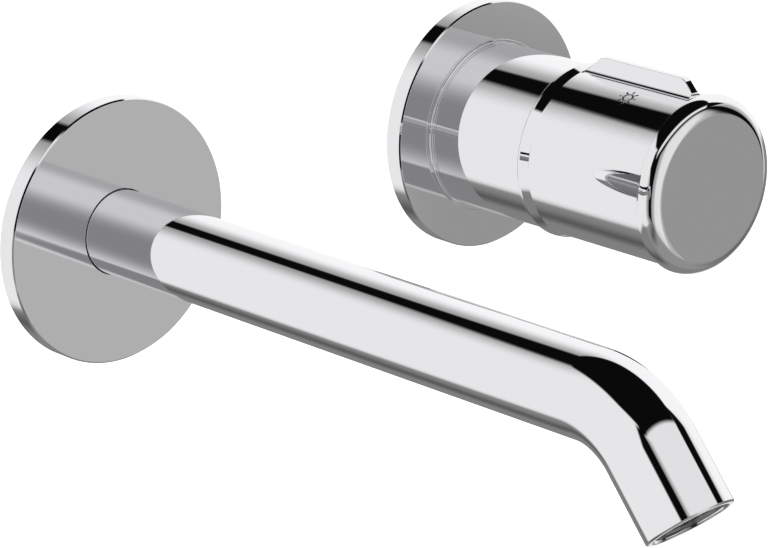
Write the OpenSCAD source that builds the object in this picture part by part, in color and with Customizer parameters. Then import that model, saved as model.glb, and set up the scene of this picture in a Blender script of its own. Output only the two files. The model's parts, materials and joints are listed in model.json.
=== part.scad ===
// Two-hole wall-mounted basin tap: a bent spout, and a round control with a turning
// knob for the temperature and a push button for on and off.
// The wall's finished face is the plane y = 0 and the tap stands out towards -Y.
// The spout's axis is at x = 0 and the control's axis is at x = control_x, both at z = 0.

/* [Wall layout] */
// Distance between the axes of the spout and the control
control_x = 131.6; // [95:0.1:250]

/* [Rosettes] */
// Diameter of each wall rosette
rosette_d = 68.6; // [67:0.1:90]
// Thickness of each rosette, from the wall to its face
rosette_h = 5.1; // [5.1:0.1:9]
// Thickness of a rosette's front and rim
rosette_wall = 1.6; // [1.2:0.1:1.8]
// Chamfer on a rosette's front edge
rosette_chamfer = 0.4; // [0.2:0.1:0.8]
// Gap round a pipe or sleeve where it passes through a rosette
rosette_gap = 0.2; // [0.1:0.05:0.4]
// Cord diameter of the ring that holds a rosette on its pipe or sleeve
grip_ring_d = 1.2; // [0.8:0.1:1.2]
// Width of the sealing ring behind each rosette's rim
gasket_w = 1.8; // [1:0.1:2.2]
// Thickness of that sealing ring
gasket_h = 1.2; // [0.8:0.1:1.6]

/* [Spout] */
// Outer diameter of the spout tube
tube_d = 22; // [20:0.1:26]
// Wall of the spout tube
tube_wall = 1.5; // [1:0.1:1.8]
// Length of the straight run, from the wall to the bend
tube_run = 170; // [90:1:260]
// Radius of the bend on the tube's centre line
bend_r = 23.5; // [16:0.5:60]
// Angle of the bend, down from level
bend_angle = 50; // [20:1:80]
// Length of the straight leg after the bend
leg = 18.7; // [13:0.1:60]
// Chamfer round the outlet
outlet_chamfer = 0.4; // [0.2:0.1:0.8]

/* [Spout fixing] */
// Outer diameter of the thread that screws into the wall elbow (G 1/2)
supply_thread_d = 20.955; // [16:0.005:21]
// Length of that thread behind the wall face
supply_thread_l = 14; // [8:1:16]
// Length of the spigot inside the tube
spigot_l = 27; // [25:1:50]
// Waterway through the nipple
nipple_bore_d = 11; // [6:0.5:11]
// Cord diameter of the two spigot seals
spigot_ring_d = 1.8; // [1.4:0.1:2]
// Distance of the set screw from the wall
set_screw_w = 20; // [16:0.5:22]
// Diameter of the set screws
set_screw_d = 4; // [3:0.5:4]

/* [Aerator] */
// Depth of the aerator ring
aerator_l = 9; // [8:0.5:10]
// How far the ring sits inside the outlet
aerator_recess = 0.5; // [0.2:0.1:1.5]
// Wall of the aerator ring round its grille
aerator_lip = 0.9; // [0.8:0.1:1.2]
// Distance between the centres of the grille's cells
cell_pitch = 2.7; // [2.4:0.1:4]
// Web between two cells
cell_web = 0.5; // [0.4:0.1:0.8]

/* [Sleeve and valve body] */
// Wall of the sleeve
sleeve_wall = 1.4; // [1.1:0.1:2]
// Distance of the sleeve's front end from the wall
sleeve_end = 38.5; // [38:0.1:60]
// How far the foot ring stands out from the sleeve
foot_step = 0.9; // [0.5:0.1:3]
// Height of the foot ring
foot_h = 0.9; // [0.5:0.1:2]
// Gap between the valve body and the sleeve
barrel_gap = 1.1; // [0.8:0.05:1.4]
// Wall of the valve body round the cartridge
barrel_wall = 2.8; // [2.6:0.05:5]
// Distance of the cartridge chamber's floor from the wall
chamber_floor = 6; // [6:0.5:8]
// Diameter of the threaded neck through the wall plate
neck_d = 34; // [32:0.5:36]
// Length of the neck behind the wall face
neck_l = 14; // [12:1:16]
// Diameter of each hose port (M10 x 1, at the thread's crest)
port_d = 8.92; // [8:0.01:9.2]
// Depth of each hose port
port_l = 10; // [8:1:10]
// Distance of the ports from the control's axis
port_offset = 10.5; // [10.3:0.1:11.2]
// Diameter of the waterways between the ports and the chamber
waterway_d = 6; // [4:0.5:6]

/* [Wall plate] */
// Gap between the plate and the sealing ring round it
plate_gap = 1.17; // [0.5:0.01:2]
// Thickness of the plate
plate_h = 1.8; // [1.2:0.1:1.8]
// Distance of the screw holes' centres from the plate's edge
plate_hole_in = 3.5; // [3:0.1:4.5]
// Diameter of the screw holes
plate_hole_d = 4.5; // [3.5:0.1:5]
// Number of screw holes
plate_holes = 4; // [3:1:6]
// Width of the back nut's ring round the neck
back_nut_ring = 4; // [3:0.5:6]
// Thickness of the back nut
back_nut_h = 4.5; // [3:0.5:7]

/* [Cartridge] */
// Diameter of the cartridge
cartridge_d = 34.9; // [33:0.1:40]
// Gap between the cartridge and its chamber
cartridge_gap = 0.15; // [0.1:0.05:0.3]
// Diameter of the fixed ceramic disc
fixed_disc_d = 30; // [29.4:0.1:31]
// Thickness of each ceramic disc
disc_h = 3.5; // [3:0.1:3.9]
// Diameter of the moving ceramic disc
moving_disc_d = 28.4; // [27.6:0.1:30]
// Diameter of the spindle in its bearing
journal_d = 14; // [12:0.1:16]
// Diameter of the spindle's splined front
spline_d = 9.2; // [8.4:0.1:11]
// Number of splines
spline_n = 20; // [12:1:24]
// How far the knob turns each way from the middle
turn_deg = 50; // [30:1:50]

/* [Knob] */
// How far the knob's side stands out from the sleeve's
knob_step = 0.1; // [0:0.1:6]
// Length of the knob, from its rear lip to its front rim
knob_l = 44.2; // [44:0.1:70]
// How far the flared lip stands out from the knob
lip_step = 0.8; // [0.4:0.1:2]
// Width of the flared lip
lip_h = 1; // [0.6:0.1:2]
// Length of the cone between the lip and the knob
flare_l = 2.6; // [1:0.1:3]
// Width of the front rim round the button
rim_w = 1.59; // [1.5:0.01:1.9]
// Rounding of the knob's front rim
rim_round = 1.2; // [0.6:0.1:1.2]
// Gap between the sleeve and the knob
knob_gap = 0.3; // [0.3:0.05:0.6]
// Wall of the knob behind the button
knob_wall = 1.8; // [1.6:0.1:2.4]
// Length of the hub that takes the spindle
hub_l = 15.1; // [12:0.1:16]
// Thickness of the partition inside the knob
web_h = 3.5; // [2:0.1:4.5]
// Distance of the set screw from the hub's rear end
hub_screw_at = 7; // [4:0.5:8]

/* [Grip fin] */
// Thickness of the fin
fin_t = 2.35; // [1.6:0.05:4]
// Height of the fin's top above the knob's surface
fin_h = 4.7; // [3.2:0.1:12]
// Length of the fin's foot
fin_l = 39; // [20:0.1:39]
// Distance of the fin's foot behind the knob's front rim
fin_setback = 1.6; // [1.2:0.1:3]
// Setback of the fin's top at the rear
fin_rear_slope = 5.4; // [2:0.1:10]
// Setback of the fin's top at the front
fin_front_slope = 4.3; // [2:0.1:10]
// Radius of the fillet at the fin's foot
fin_fillet = 2; // [1:0.1:2.6]
// How deep the fin is set into the knob
fin_tenon = 0.9; // [0.5:0.1:1.1]

/* [Temperature marks] */
// Diameter over the points of each mark
mark_d = 5.5; // [4:0.1:7]
// Width of a mark's lines
mark_line = 0.36; // [0.3:0.02:0.6]
// Angle of each mark from the fin
mark_angle = 21.1; // [18:0.1:40]
// Distance of the marks behind the knob's front rim
mark_setback = 18.7; // [6:0.1:36]
// Depth of the engraving
mark_depth = 0.25; // [0.15:0.05:0.3]

/* [Push button] */
// Gap between the cap's inner collar and the knob's bore
cap_gap = 0.34; // [0.2:0.02:0.5]
// How far the cap's side stands out from the knob's side
cap_over = 1; // [0.8:0.1:3]
// How far the cap's skirt reaches back over the knob's front
cap_lap = 0.7; // [0.4:0.1:1.5]
// Gap between the cap's skirt and the knob's side
skirt_gap = 0.15; // [0.1:0.01:0.2]
// How far the cap's face stands out of the knob when the button is pushed in
cap_stand = 2; // [2:0.1:5]
// Length of the cap, from its collar's rear edge to its face
cap_l = 10.8; // [9:0.1:12]
// Rounding of the cap's edge
cap_round = 4.6; // [2:0.1:4.6]
// Thickness of the cap's face
cap_face = 1.8; // [1.2:0.1:2]
// Wall of the cap's collar
cap_wall = 2.3; // [2:0.1:3]
// Travel of the button
button_travel = 2; // [1:0.1:3]
// Diameter of the button's stem
stem_d = 8; // [7:0.1:9]
// Diameter of the push rod
rod_d = 3; // [2:0.1:3.4]
// Diameter of the return spring, at its wire's centre
spring_d = 16; // [15.2:0.1:26]
// Wire of the return spring
spring_wire = 1; // [0.6:0.1:1.4]
// Turns of the return spring
spring_turns = 6; // [3:1:9]

/* [Fits] */
// Radial clearance of parts that turn or slide in each other
running = 0.06; // [0.02:0.01:0.1]
// Radial clearance of parts that are pushed together
push_fit = 0.03; // [0.01:0.01:0.05]
// Clearance of parts that only stand next to each other
loose = 0.3; // [0.2:0.05:0.4]

/* [Hidden] */

$fn = 96;
// Overshoot of a cut past the face that it goes through
cut = 1;
// Gap between faces that touch in the real tap
touch = 0.02;
// The spout's leg is wider than the bend by this much, so that the two surfaces never meet edge on
leg_step = 0.005;

// Rosettes
rosette_r = rosette_d / 2;
rosette_cavity = rosette_h - rosette_wall;
gasket_r = rosette_r - rosette_wall - push_fit;
grip_hub_w = 1.7;
grip_pocket = grip_ring_d + 0.2;
plate_d = 2 * (gasket_r - gasket_w - plate_gap);
plate_pcd = plate_d - 2 * plate_hole_in;
back_nut_d = neck_d + 2 * back_nut_ring;
back_nut_slot_deep = 2;
back_nut_slot_h = 2;

// Spout
tube_r = tube_d / 2;
tube_bore_r = tube_r - tube_wall;
spigot_r = tube_bore_r - running;
nipple_shoulder_w = 0.4;
nipple_shoulder_h = 1;
tube_start = nipple_shoulder_w + nipple_shoulder_h;
nipple_hex_af = 12;
nipple_hex_l = 8;
spigot_ring_r = tube_bore_r - push_fit - spigot_ring_d / 2;
spigot_ring_first = 5;
spigot_ring_back = 6;
spigot_ring_places = [spigot_ring_first, set_screw_w - spigot_ring_back];
set_screw_groove = 0.8;
outlet_out = tube_run + bend_r * sin(bend_angle) + leg * cos(bend_angle);
outlet_down = bend_r * (1 - cos(bend_angle)) + leg * sin(bend_angle);

// Aerator, measured inwards from the outlet's face
aerator_r = tube_bore_r - push_fit;
aerator_bore_r = aerator_r - aerator_lip;
aerator_shelf_w = 0.8;
aerator_shelf_h = 1;
grille_in = 0.7;
grille_h = 2;
grille_r = aerator_bore_r - push_fit;
grille_top = aerator_recess + grille_in;
aerator_shelf = grille_top + grille_h + touch;
regulator_top = aerator_shelf + aerator_shelf_h + touch;
regulator_h = 2.2;
washer_h = 1.6;
washer_w = 2.2;

// Sleeve and valve body, measured out from the wall; the sleeve is 45.8 across and the knob 46
cartridge_r = cartridge_d / 2;
chamber_r = cartridge_r + cartridge_gap;
barrel_r = chamber_r + barrel_wall;
sleeve_bore_r = barrel_r + barrel_gap;
sleeve_r = sleeve_bore_r + sleeve_wall;
foot_r = sleeve_r + foot_step;
sleeve_lip = 2.4;
barrel_end = sleeve_end - sleeve_lip - touch;
neck_r = neck_d / 2;
port_r = port_d / 2;
seat_r = 6;
seat_bore_r = 3;
seat_h = 3;
rod_r = rod_d / 2;
shutoff_r = 4.2;
shutoff_h = 2;
shutoff_w = chamber_floor - seat_h - touch - shutoff_h;
rod_head_r = 2.6;
rod_head_h = 1.3;
well_r = shutoff_r + 0.5;
well_floor = shutoff_w - rod_head_h - button_travel - 1;
sleeve_seal_d = 1.8;
sleeve_seal_r = sleeve_bore_r - push_fit - sleeve_seal_d / 2;
sleeve_seal_w = 12;
back_nut_slot = 5;

// Cartridge, measured out from the wall
base_w = chamber_floor + 0.3;
base_h = 3.2;
seal_cord = 1.2;
port_seal_r = 4;
centre_seal_r = 4.4;
disc_w = base_w + base_h;
centre_hole_r = 3.4;
disc_face_gap = 0.03;
moving_w = disc_w + touch + disc_h + disc_face_gap;
carrier_w = moving_w + disc_h + touch;
carrier_h = 4;
kidney_in = 8;
kidney_out = 13;
recess_h = 1.8;
tab_w = 4;
tab_deep = 2;
tab_h = 1.8;
tab_count = 3;
fixed_r = fixed_disc_d / 2;
moving_r = moving_disc_d / 2;
housing_bore_r = max(fixed_r, moving_r) + loose;
flange_r = 8.5;
flange_w = carrier_w + carrier_h + touch;
flange_h = 2;
journal_w = flange_w + flange_h;
housing_wall_w = journal_w + loose;
nut_depth = 7.5;
housing_end = sleeve_end - nut_depth;
journal_r = journal_d / 2;
journal_end = housing_end + 0.5;
spline_r = spline_d / 2;
spline_depth = 0.45;
spindle_bore_r = rod_r + 0.8;
spindle_seal_d = 1.5;
spindle_seal_r = journal_r + running - push_fit - spindle_seal_d / 2;
spindle_seal_places = [journal_w + 1.6, journal_w + 4.4];

// Temperature stop and retaining nut
stop_w = journal_end + 0.1;
stop_h = 2.4;
stop_hub_r = 8;
stop_tab_r = 12.6;
stop_tab_half = 6;
stop_lug_in = 10.5;
stop_lug_out = 13.8;
stop_lug_deg = 15;
stop_slack = 0.6;
nut_inner_r = stop_lug_out + 0.6;
nut_flange_step = 1.4;
nut_flange_r = chamber_r + nut_flange_step;
nut_flange_h = 2.5;
nut_mouth_r = stop_tab_r + 0.6;
nut_slots = 4;
nut_slot_w = 3;
nut_slot_l = 2;
nut_slot_deep = 1.2;

// Knob, measured out from the wall
knob_r = sleeve_r + knob_step;
lip_r = knob_r + lip_step;
lip_edge = 0.25;
knob_rear = sleeve_end + knob_gap;
knob_front = knob_rear + knob_l;
flare_w = knob_rear + lip_h;
knob_bore_r = knob_r - knob_wall;
cap_bore_r = knob_r - rim_w;
cap_r = cap_bore_r - cap_gap;
glide_r = knob_bore_r - running;
glide_w = sleeve_end + touch;
glide_h = 3.7;
hub_in = 6.5;
hub_w = sleeve_end + hub_in;
web_w = hub_w + hub_l;
web_end = web_w + web_h;
spindle_end = web_w - 0.6;
adapter_r = 9;
adapter_w = hub_w + 0.3;
adapter_end = web_w - touch;
hub_r = 13.4;
stem_r = stem_d / 2;
front_boss_r = 6.2;
front_boss_l = 6.5;
front_boss_end = web_end + front_boss_l;
cap_bore_step = 1;
cap_bore_w = front_boss_end + cap_bore_step;
hub_screw_w = hub_w + hub_screw_at;
screw_r = set_screw_d / 2;
screw_access_r = screw_r + 0.3;
screw_socket_af = set_screw_d / 2;
rod_seal_d = 1.4;
rod_seal_w = spindle_end - 2.6;
mark_w = knob_front - mark_setback;

// Grip fin
fin_front = knob_front - fin_setback;
fin_rear = fin_front - fin_l;
fin_half = fin_t / 2;
fin_top = knob_r + fin_h;
fin_corner = 0.8;
fin_clear = 0.15;
fillet_x = fin_half + fin_fillet;
fillet_y = sqrt(pow(knob_r + fin_fillet, 2) - pow(fillet_x, 2));

// Push button, measured out from the wall
cap_front = knob_front + button_travel + cap_stand;
cap_rear = cap_front - cap_l;
cap_out_r = knob_r + cap_over;
skirt_r = knob_r + skirt_gap;
skirt_rear = knob_front - cap_lap;
skirt_round = min(cap_round, cap_front - skirt_rear - 0.1);
pocket_end = knob_front + button_travel + running;
pocket_round = rim_round + 0.1;
cap_bore_in_r = cap_r - cap_wall;
cap_inner_front = cap_front - cap_face;
cap_seal_d = 1.5;
cap_seal_r = cap_bore_r - running - cap_seal_d / 2;
cap_seal_w = cap_rear + 2.4;
carrier_plate_h = 3.6;
carrier_plate_w = cap_inner_front - carrier_plate_h;
stem_rear = web_w + button_travel + 0.6;
rod_socket = 8;
latch_w = web_end + 3;
latch_pin_r = 0.5;
latch_slot_w = 1.4;
latch_slot_deep = 1.1;
spring_rear = web_end + 0.1;
spring_front = carrier_plate_w - 0.1;
spring_r = spring_d / 2;

function arc(cx, cy, r, from, to, steps = 8) =
    [for (i = [0:steps]) let (a = from + (to - from) * i / steps) [cx + r * cos(a), cy + r * sin(a)]];

// A soft corner at b between a point a before it and a point c after it
function soft(a, b, c) = [for (t = [0:0.25:1]) (1 - t) * (1 - t) * a + 2 * t * (1 - t) * b + t * t * c];

// Local +Z leads out of the wall and local +Y leads up
module out_of_wall(x = 0) {
    translate([x, 0, 0]) rotate([90, 0, 0]) children();
}

// Local +Z leads out of the outlet, along the last leg of the spout
module at_outlet() {
    out_of_wall() translate([0, -outlet_down, outlet_out]) rotate([bend_angle, 0, 0]) children();
}

module disc(r, from, to) {
    translate([0, 0, from]) cylinder(r = r, h = to - from);
}

module ring(outer, inner, from, to) {
    difference() {
        disc(outer, from, to);
        disc(inner, from - cut, to + cut);
    }
}

module seal_ring(r, cord, at) {
    translate([0, 0, at]) rotate_extrude() translate([r, 0]) circle(d = cord, $fn = 24);
}

module seal_groove(r, cord, wide, at) {
    ring(r + cord * 2, r - cord / 2 - 0.05, at - wide / 2, at + wide / 2);
}

module hexagon(af, from, to) {
    translate([0, 0, from]) cylinder(r = af / sqrt(3), h = to - from, $fn = 6);
}

// A flat sector between two angles
module sector(r, from, to) {
    polygon(concat([[0, 0]], [for (i = [0:6]) let (a = from + (to - from) * i / 6) r * [cos(a), sin(a)]]));
}

module splines(r, from, to) {
    tooth = 360 / spline_n;
    translate([0, 0, from]) linear_extrude(to - from)
        polygon([for (i = [0:spline_n - 1], s = [[-0.3, -1], [-0.2, 0], [0.2, 0], [0.3, -1]])
            (r + s[1] * spline_depth) * [cos((i + s[0]) * tooth), sin((i + s[0]) * tooth)]]);
}

// One rosette, hollow behind, with a pocket for the ring that grips what passes through it
module rosette(pass_r) {
    hole_r = pass_r + rosette_gap;
    pocket_r = pass_r + grip_ring_d + 0.1;
    rim_in = rosette_r - rosette_wall;
    pocket_w = rosette_cavity - grip_pocket;
    rotate_extrude() polygon([[pocket_r, pocket_w], [pocket_r + grip_hub_w, pocket_w],
        [pocket_r + grip_hub_w, rosette_cavity], [rim_in, rosette_cavity], [rim_in, 0], [rosette_r, 0],
        [rosette_r, rosette_h - rosette_chamfer], [rosette_r - rosette_chamfer, rosette_h],
        [hole_r, rosette_h], [hole_r, rosette_cavity], [pocket_r, rosette_cavity]]);
}

module grip_ring(pass_r) {
    seal_ring(pass_r + touch + grip_ring_d / 2, grip_ring_d, rosette_cavity - grip_ring_d / 2 - 0.1);
}

module wall_seal() {
    ring(gasket_r, gasket_r - gasket_w, 0, gasket_h);
}

// The tube's outer or inner form, from the wall to the outlet
module bent_form(r, start, end_more = 0) {
    out_of_wall() {
        disc(r, start, tube_run);
        translate([0, -bend_r, tube_run]) rotate([90, 0, 90])
            rotate_extrude(angle = bend_angle) translate([bend_r, 0]) circle(r = r);
    }
    at_outlet() disc(r + leg_step, -leg - 0.05, end_more);
}

module set_screw(length) {
    socket = length / 2;
    difference() {
        cylinder(r = screw_r - push_fit, h = length, $fn = 32);
        translate([0, 0, length - socket])
            cylinder(r = screw_socket_af / sqrt(3), h = socket + cut, $fn = 6);
    }
}

// The marks are drawn flat: a ring with rays, and crossed arms with side branches
module sun(line) {
    difference() {
        circle(d = mark_d * 0.56, $fn = 40);
        circle(d = mark_d * 0.56 - 2 * line, $fn = 40);
    }
    for (i = [0:7]) rotate(i * 45) translate([mark_d * 0.35, -line / 2]) square([mark_d * 0.15, line]);
}

module snowflake(line) {
    for (i = [0:2]) rotate(i * 60) square([mark_d, line], center = true);
    for (i = [0:5]) rotate(i * 60) translate([mark_d * 0.28, 0])
        for (s = [-1, 1]) rotate(s * 50) translate([0, -line / 2]) square([mark_d * 0.17, line]);
}

// Carries a flat drawing to its place on the knob, at an angle from the fin
module on_knob(angle, from, to) {
    rotate(angle) translate([0, 0, mark_w]) rotate([-90, 0, 0]) translate([0, 0, from])
        linear_extrude(to - from) children();
}

module spout_rosette() {
    color("silver") out_of_wall() rosette(tube_r);
}

module spout_rosette_ring() {
    color("dimgray") out_of_wall() grip_ring(tube_r);
}

module spout_wall_seal() {
    color("gray") out_of_wall() wall_seal();
}

module spout_tube() {
    color("silver") difference() {
        union() {
            bent_form(tube_r, tube_start, -outlet_chamfer);
            at_outlet() translate([0, 0, -outlet_chamfer])
                cylinder(r1 = tube_r + leg_step, r2 = tube_r + leg_step - outlet_chamfer, h = outlet_chamfer);
        }
        bent_form(tube_bore_r, tube_start - cut, cut);
        out_of_wall() translate([0, 0, set_screw_w]) rotate([90, 0, 0])
            cylinder(r = screw_r, h = tube_r + cut, $fn = 32);
    }
}

module spout_nipple() {
    color("goldenrod") out_of_wall() difference() {
        union() {
            disc(supply_thread_d / 2, -supply_thread_l, nipple_shoulder_w);
            disc(spigot_r, nipple_shoulder_w - 0.1, spigot_l);
            disc(tube_r - 0.1, nipple_shoulder_w, tube_start - touch);
        }
        disc(nipple_bore_d / 2, -supply_thread_l - cut, spigot_l + cut);
        hexagon(nipple_hex_af, spigot_l - nipple_hex_l, spigot_l + cut);
        for (w = spigot_ring_places) seal_groove(spigot_ring_r, spigot_ring_d, spigot_ring_d + 0.4, w);
        ring(spigot_r + cut, spigot_r - set_screw_groove, set_screw_w - screw_r - 0.4, set_screw_w + screw_r + 0.4);
    }
}

module spigot_seals() {
    color("black") out_of_wall() for (w = spigot_ring_places)
        seal_ring(spigot_ring_r, spigot_ring_d, w);
}

module spout_set_screw() {
    from = spigot_r - set_screw_groove + touch;
    color("dimgray") out_of_wall() translate([0, 0, set_screw_w]) rotate([90, 0, 0])
        translate([0, 0, from]) set_screw(tube_r - from - 0.2);
}

module aerator_ring() {
    color("silver") at_outlet() difference() {
        disc(aerator_r, -aerator_recess - aerator_l, -aerator_recess);
        disc(aerator_bore_r, -aerator_shelf, cut);
        disc(aerator_bore_r - aerator_shelf_w, -aerator_recess - aerator_l - cut, cut);
        disc(aerator_bore_r, -aerator_recess - aerator_l - cut, -aerator_shelf - aerator_shelf_h);
    }
}

module aerator_grille() {
    across = ceil(grille_r / cell_pitch);
    color([0.19, 0.19, 0.2]) at_outlet() translate([0, 0, -grille_top - grille_h]) linear_extrude(grille_h)
        difference() {
            circle(r = grille_r);
            for (i = [-across:across], j = [-across:across]) {
                x = (i + j / 2) * cell_pitch;
                y = j * cell_pitch * sqrt(3) / 2;
                if (norm([x, y]) + cell_pitch / 2 < grille_r - 0.3)
                    translate([x, y]) rotate(30) circle(r = (cell_pitch - cell_web) / sqrt(3), $fn = 6);
            }
        }
}

module flow_regulator() {
    color("ivory") at_outlet() difference() {
        disc(aerator_bore_r - push_fit, -regulator_top - regulator_h, -regulator_top);
        for (i = [0:5]) rotate(i * 60) translate([aerator_bore_r * 0.6, 0, -regulator_top - regulator_h - cut])
            cylinder(r = 1.1, h = regulator_h + 2 * cut, $fn = 24);
    }
}

module aerator_washer() {
    top = aerator_recess + aerator_l + touch;
    color("black") at_outlet() ring(aerator_r, aerator_r - washer_w, -top - washer_h, -top);
}

module control_rosette() {
    color("silver") out_of_wall(control_x) rosette(sleeve_r);
}

module control_rosette_ring() {
    color("dimgray") out_of_wall(control_x) grip_ring(sleeve_r);
}

module control_wall_seal() {
    color("gray") out_of_wall(control_x) wall_seal();
}

module control_wall_plate() {
    color("lightslategray") out_of_wall(control_x) difference() {
        ring(plate_d / 2, neck_r + push_fit, 0, plate_h);
        for (i = [0:plate_holes - 1]) rotate((i + 0.5) * 360 / plate_holes)
            translate([plate_pcd / 2, 0, -cut]) cylinder(d = plate_hole_d, h = plate_h + 2 * cut, $fn = 32);
    }
}

module back_nut() {
    color("goldenrod") out_of_wall(control_x) difference() {
        ring(back_nut_d / 2, neck_r + push_fit, -back_nut_h - touch, -touch);
        for (a = [0:90:270]) rotate(a)
            translate([back_nut_d / 2 - back_nut_slot_deep, -back_nut_slot / 2, -back_nut_h - touch - cut])
                cube([back_nut_slot_deep + cut, back_nut_slot, back_nut_slot_h + cut]);
    }
}

module valve_body() {
    color("goldenrod") out_of_wall(control_x) difference() {
        union() {
            disc(neck_r, -neck_l, plate_h + touch);
            disc(barrel_r, plate_h + touch, barrel_end);
        }
        disc(chamber_r, chamber_floor, barrel_end + cut);
        disc(seat_r + push_fit, chamber_floor - seat_h, chamber_floor + cut);
        disc(well_r, well_floor, chamber_floor);
        for (a = [0, 180]) rotate(a) translate([port_offset, 0, -neck_l - cut]) {
            cylinder(r = port_r, h = port_l + cut);
            cylinder(d = waterway_d, h = neck_l + chamber_floor + 2 * cut, $fn = 48);
        }
        translate([0, -port_offset, -neck_l - cut]) {
            cylinder(r = port_r, h = port_l + cut);
            cylinder(d = waterway_d, h = neck_l + well_floor + 2 * cut + 2, $fn = 48);
        }
        translate([0, 0, well_floor + waterway_d / 3]) rotate([90, 0, 0])
            cylinder(d = waterway_d * 0.6, h = port_offset, $fn = 32);
        seal_groove(sleeve_seal_r, sleeve_seal_d, sleeve_seal_d + 0.5, sleeve_seal_w);
    }
}

module shutoff_seat() {
    color("goldenrod") out_of_wall(control_x)
        ring(seat_r, seat_bore_r, chamber_floor - seat_h + touch, chamber_floor);
}

module control_sleeve() {
    lip = sleeve_end - sleeve_lip;
    color("silver") out_of_wall(control_x) rotate_extrude() polygon([[sleeve_bore_r, plate_h + loose],
        [sleeve_r, plate_h + loose], [sleeve_r, rosette_h + touch], [foot_r, rosette_h + touch],
        [foot_r, rosette_h + foot_h - 0.3], [foot_r - 0.3, rosette_h + foot_h],
        [sleeve_r, rosette_h + foot_h], [sleeve_r, sleeve_end - 0.2], [sleeve_r - 0.2, sleeve_end],
        [chamber_r + 0.2, sleeve_end], [chamber_r + 0.2, lip], [sleeve_bore_r, lip]]);
}

module sleeve_seal() {
    color("black") out_of_wall(control_x) seal_ring(sleeve_seal_r, sleeve_seal_d, sleeve_seal_w);
}

module retaining_nut() {
    top = sleeve_end + touch;
    color("goldenrod") out_of_wall(control_x) difference() {
        union() {
            ring(chamber_r - push_fit, nut_inner_r, housing_end + touch, top + cut);
            ring(nut_flange_r, nut_mouth_r, top, top + nut_flange_h);
        }
        for (i = [0:nut_slots - 1]) rotate(i * 360 / nut_slots)
            translate([nut_flange_r - nut_slot_l, -nut_slot_w / 2, top + nut_flange_h - nut_slot_deep])
                cube([nut_slot_l + cut, nut_slot_w, nut_slot_deep + cut]);
    }
}

// Groove for a face seal on the underside of the cartridge's base
module groove_below(r) {
    ring(r + seal_cord / 2 + 0.05, r - seal_cord / 2 - 0.05, base_w - cut, base_w + seal_cord - 0.2);
}

module cartridge_base() {
    color("whitesmoke") out_of_wall(control_x) difference() {
        disc(cartridge_r, base_w, base_w + base_h);
        disc(centre_hole_r, base_w - cut, base_w + base_h + cut);
        groove_below(centre_seal_r);
        for (x = [-port_offset, port_offset]) translate([x, 0, 0]) {
            disc(waterway_d / 2, base_w - cut, base_w + base_h + cut);
            groove_below(port_seal_r);
        }
    }
}

module cartridge_seals() {
    at = chamber_floor + seal_cord / 2 + touch;
    color("black") out_of_wall(control_x) {
        seal_ring(centre_seal_r, seal_cord, at);
        for (x = [-port_offset, port_offset]) translate([x, 0, 0]) seal_ring(port_seal_r, seal_cord, at);
    }
}

module fixed_disc() {
    color("mintcream") out_of_wall(control_x) translate([0, 0, disc_w + touch]) linear_extrude(disc_h)
        difference() {
            circle(r = fixed_r);
            circle(r = centre_hole_r);
            for (a = [0, 180]) intersection() {
                difference() {
                    circle(r = kidney_out);
                    circle(r = kidney_in);
                }
                sector(2 * kidney_out, a - turn_deg, a + turn_deg);
            }
        }
}

module tabs(r, from, to, spare = 0) {
    for (i = [0:tab_count - 1]) rotate(i * 360 / tab_count + 30)
        translate([r - tab_deep - spare, -tab_w / 2 - spare, from])
            cube([tab_deep + cut + spare, tab_w + 2 * spare, to - from]);
}

module moving_disc() {
    color("mintcream") out_of_wall(control_x) difference() {
        disc(moving_r, moving_w, moving_w + disc_h);
        disc(centre_hole_r, moving_w - cut, moving_w + disc_h + cut);
        translate([0, 0, moving_w - cut]) linear_extrude(recess_h + cut) intersection() {
            circle(r = kidney_out);
            sector(3 * kidney_out, 0, 180);
        }
        tabs(moving_r, moving_w + disc_h - tab_h - 0.1, moving_w + disc_h + cut, running);
    }
}

module disc_carrier() {
    color("dimgray") out_of_wall(control_x) difference() {
        union() {
            disc(moving_r, carrier_w, carrier_w + carrier_h);
            intersection() {
                tabs(moving_r, carrier_w - tab_h, carrier_w + cut);
                disc(moving_r, carrier_w - tab_h - cut, carrier_w + cut);
            }
        }
        disc(centre_hole_r, carrier_w - cut, carrier_w + carrier_h + cut);
    }
}

module spindle() {
    color("goldenrod") out_of_wall(control_x) difference() {
        union() {
            disc(flange_r, flange_w, journal_w);
            disc(journal_r, journal_w - 0.1, journal_end);
            splines(spline_r, journal_end - 0.1, spindle_end);
        }
        disc(spindle_bore_r, flange_w - cut, spindle_end + cut);
        disc(rod_r + rod_seal_d + 0.05, rod_seal_w - rod_seal_d / 2 - 0.1, rod_seal_w + rod_seal_d / 2 + 0.1);
        for (w = spindle_seal_places) seal_groove(spindle_seal_r, spindle_seal_d, spindle_seal_d + 0.4, w);
    }
}

module spindle_seals() {
    color("black") out_of_wall(control_x) for (w = spindle_seal_places)
        seal_ring(spindle_seal_r, spindle_seal_d, w);
}

module rod_seal() {
    color("black") out_of_wall(control_x) seal_ring(rod_r + 0.03 + rod_seal_d / 2, rod_seal_d, rod_seal_w);
}

// The housing's two lugs stop the tab of the temperature stop at each end of its turn
module cartridge_housing() {
    color("whitesmoke") out_of_wall(control_x) {
        difference() {
            disc(cartridge_r, disc_w + touch, housing_end);
            disc(housing_bore_r, disc_w - cut, housing_wall_w);
            disc(journal_r + running, housing_wall_w - cut, housing_end + cut);
        }
        for (s = [-1, 1]) rotate(90 + s * (turn_deg + stop_tab_half + stop_slack + stop_lug_deg / 2))
            translate([0, 0, housing_end - 0.5]) linear_extrude(stop_h + 1) intersection() {
                difference() {
                    circle(r = stop_lug_out);
                    circle(r = stop_lug_in);
                }
                sector(2 * stop_lug_out, -stop_lug_deg / 2, stop_lug_deg / 2);
            }
    }
}

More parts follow.
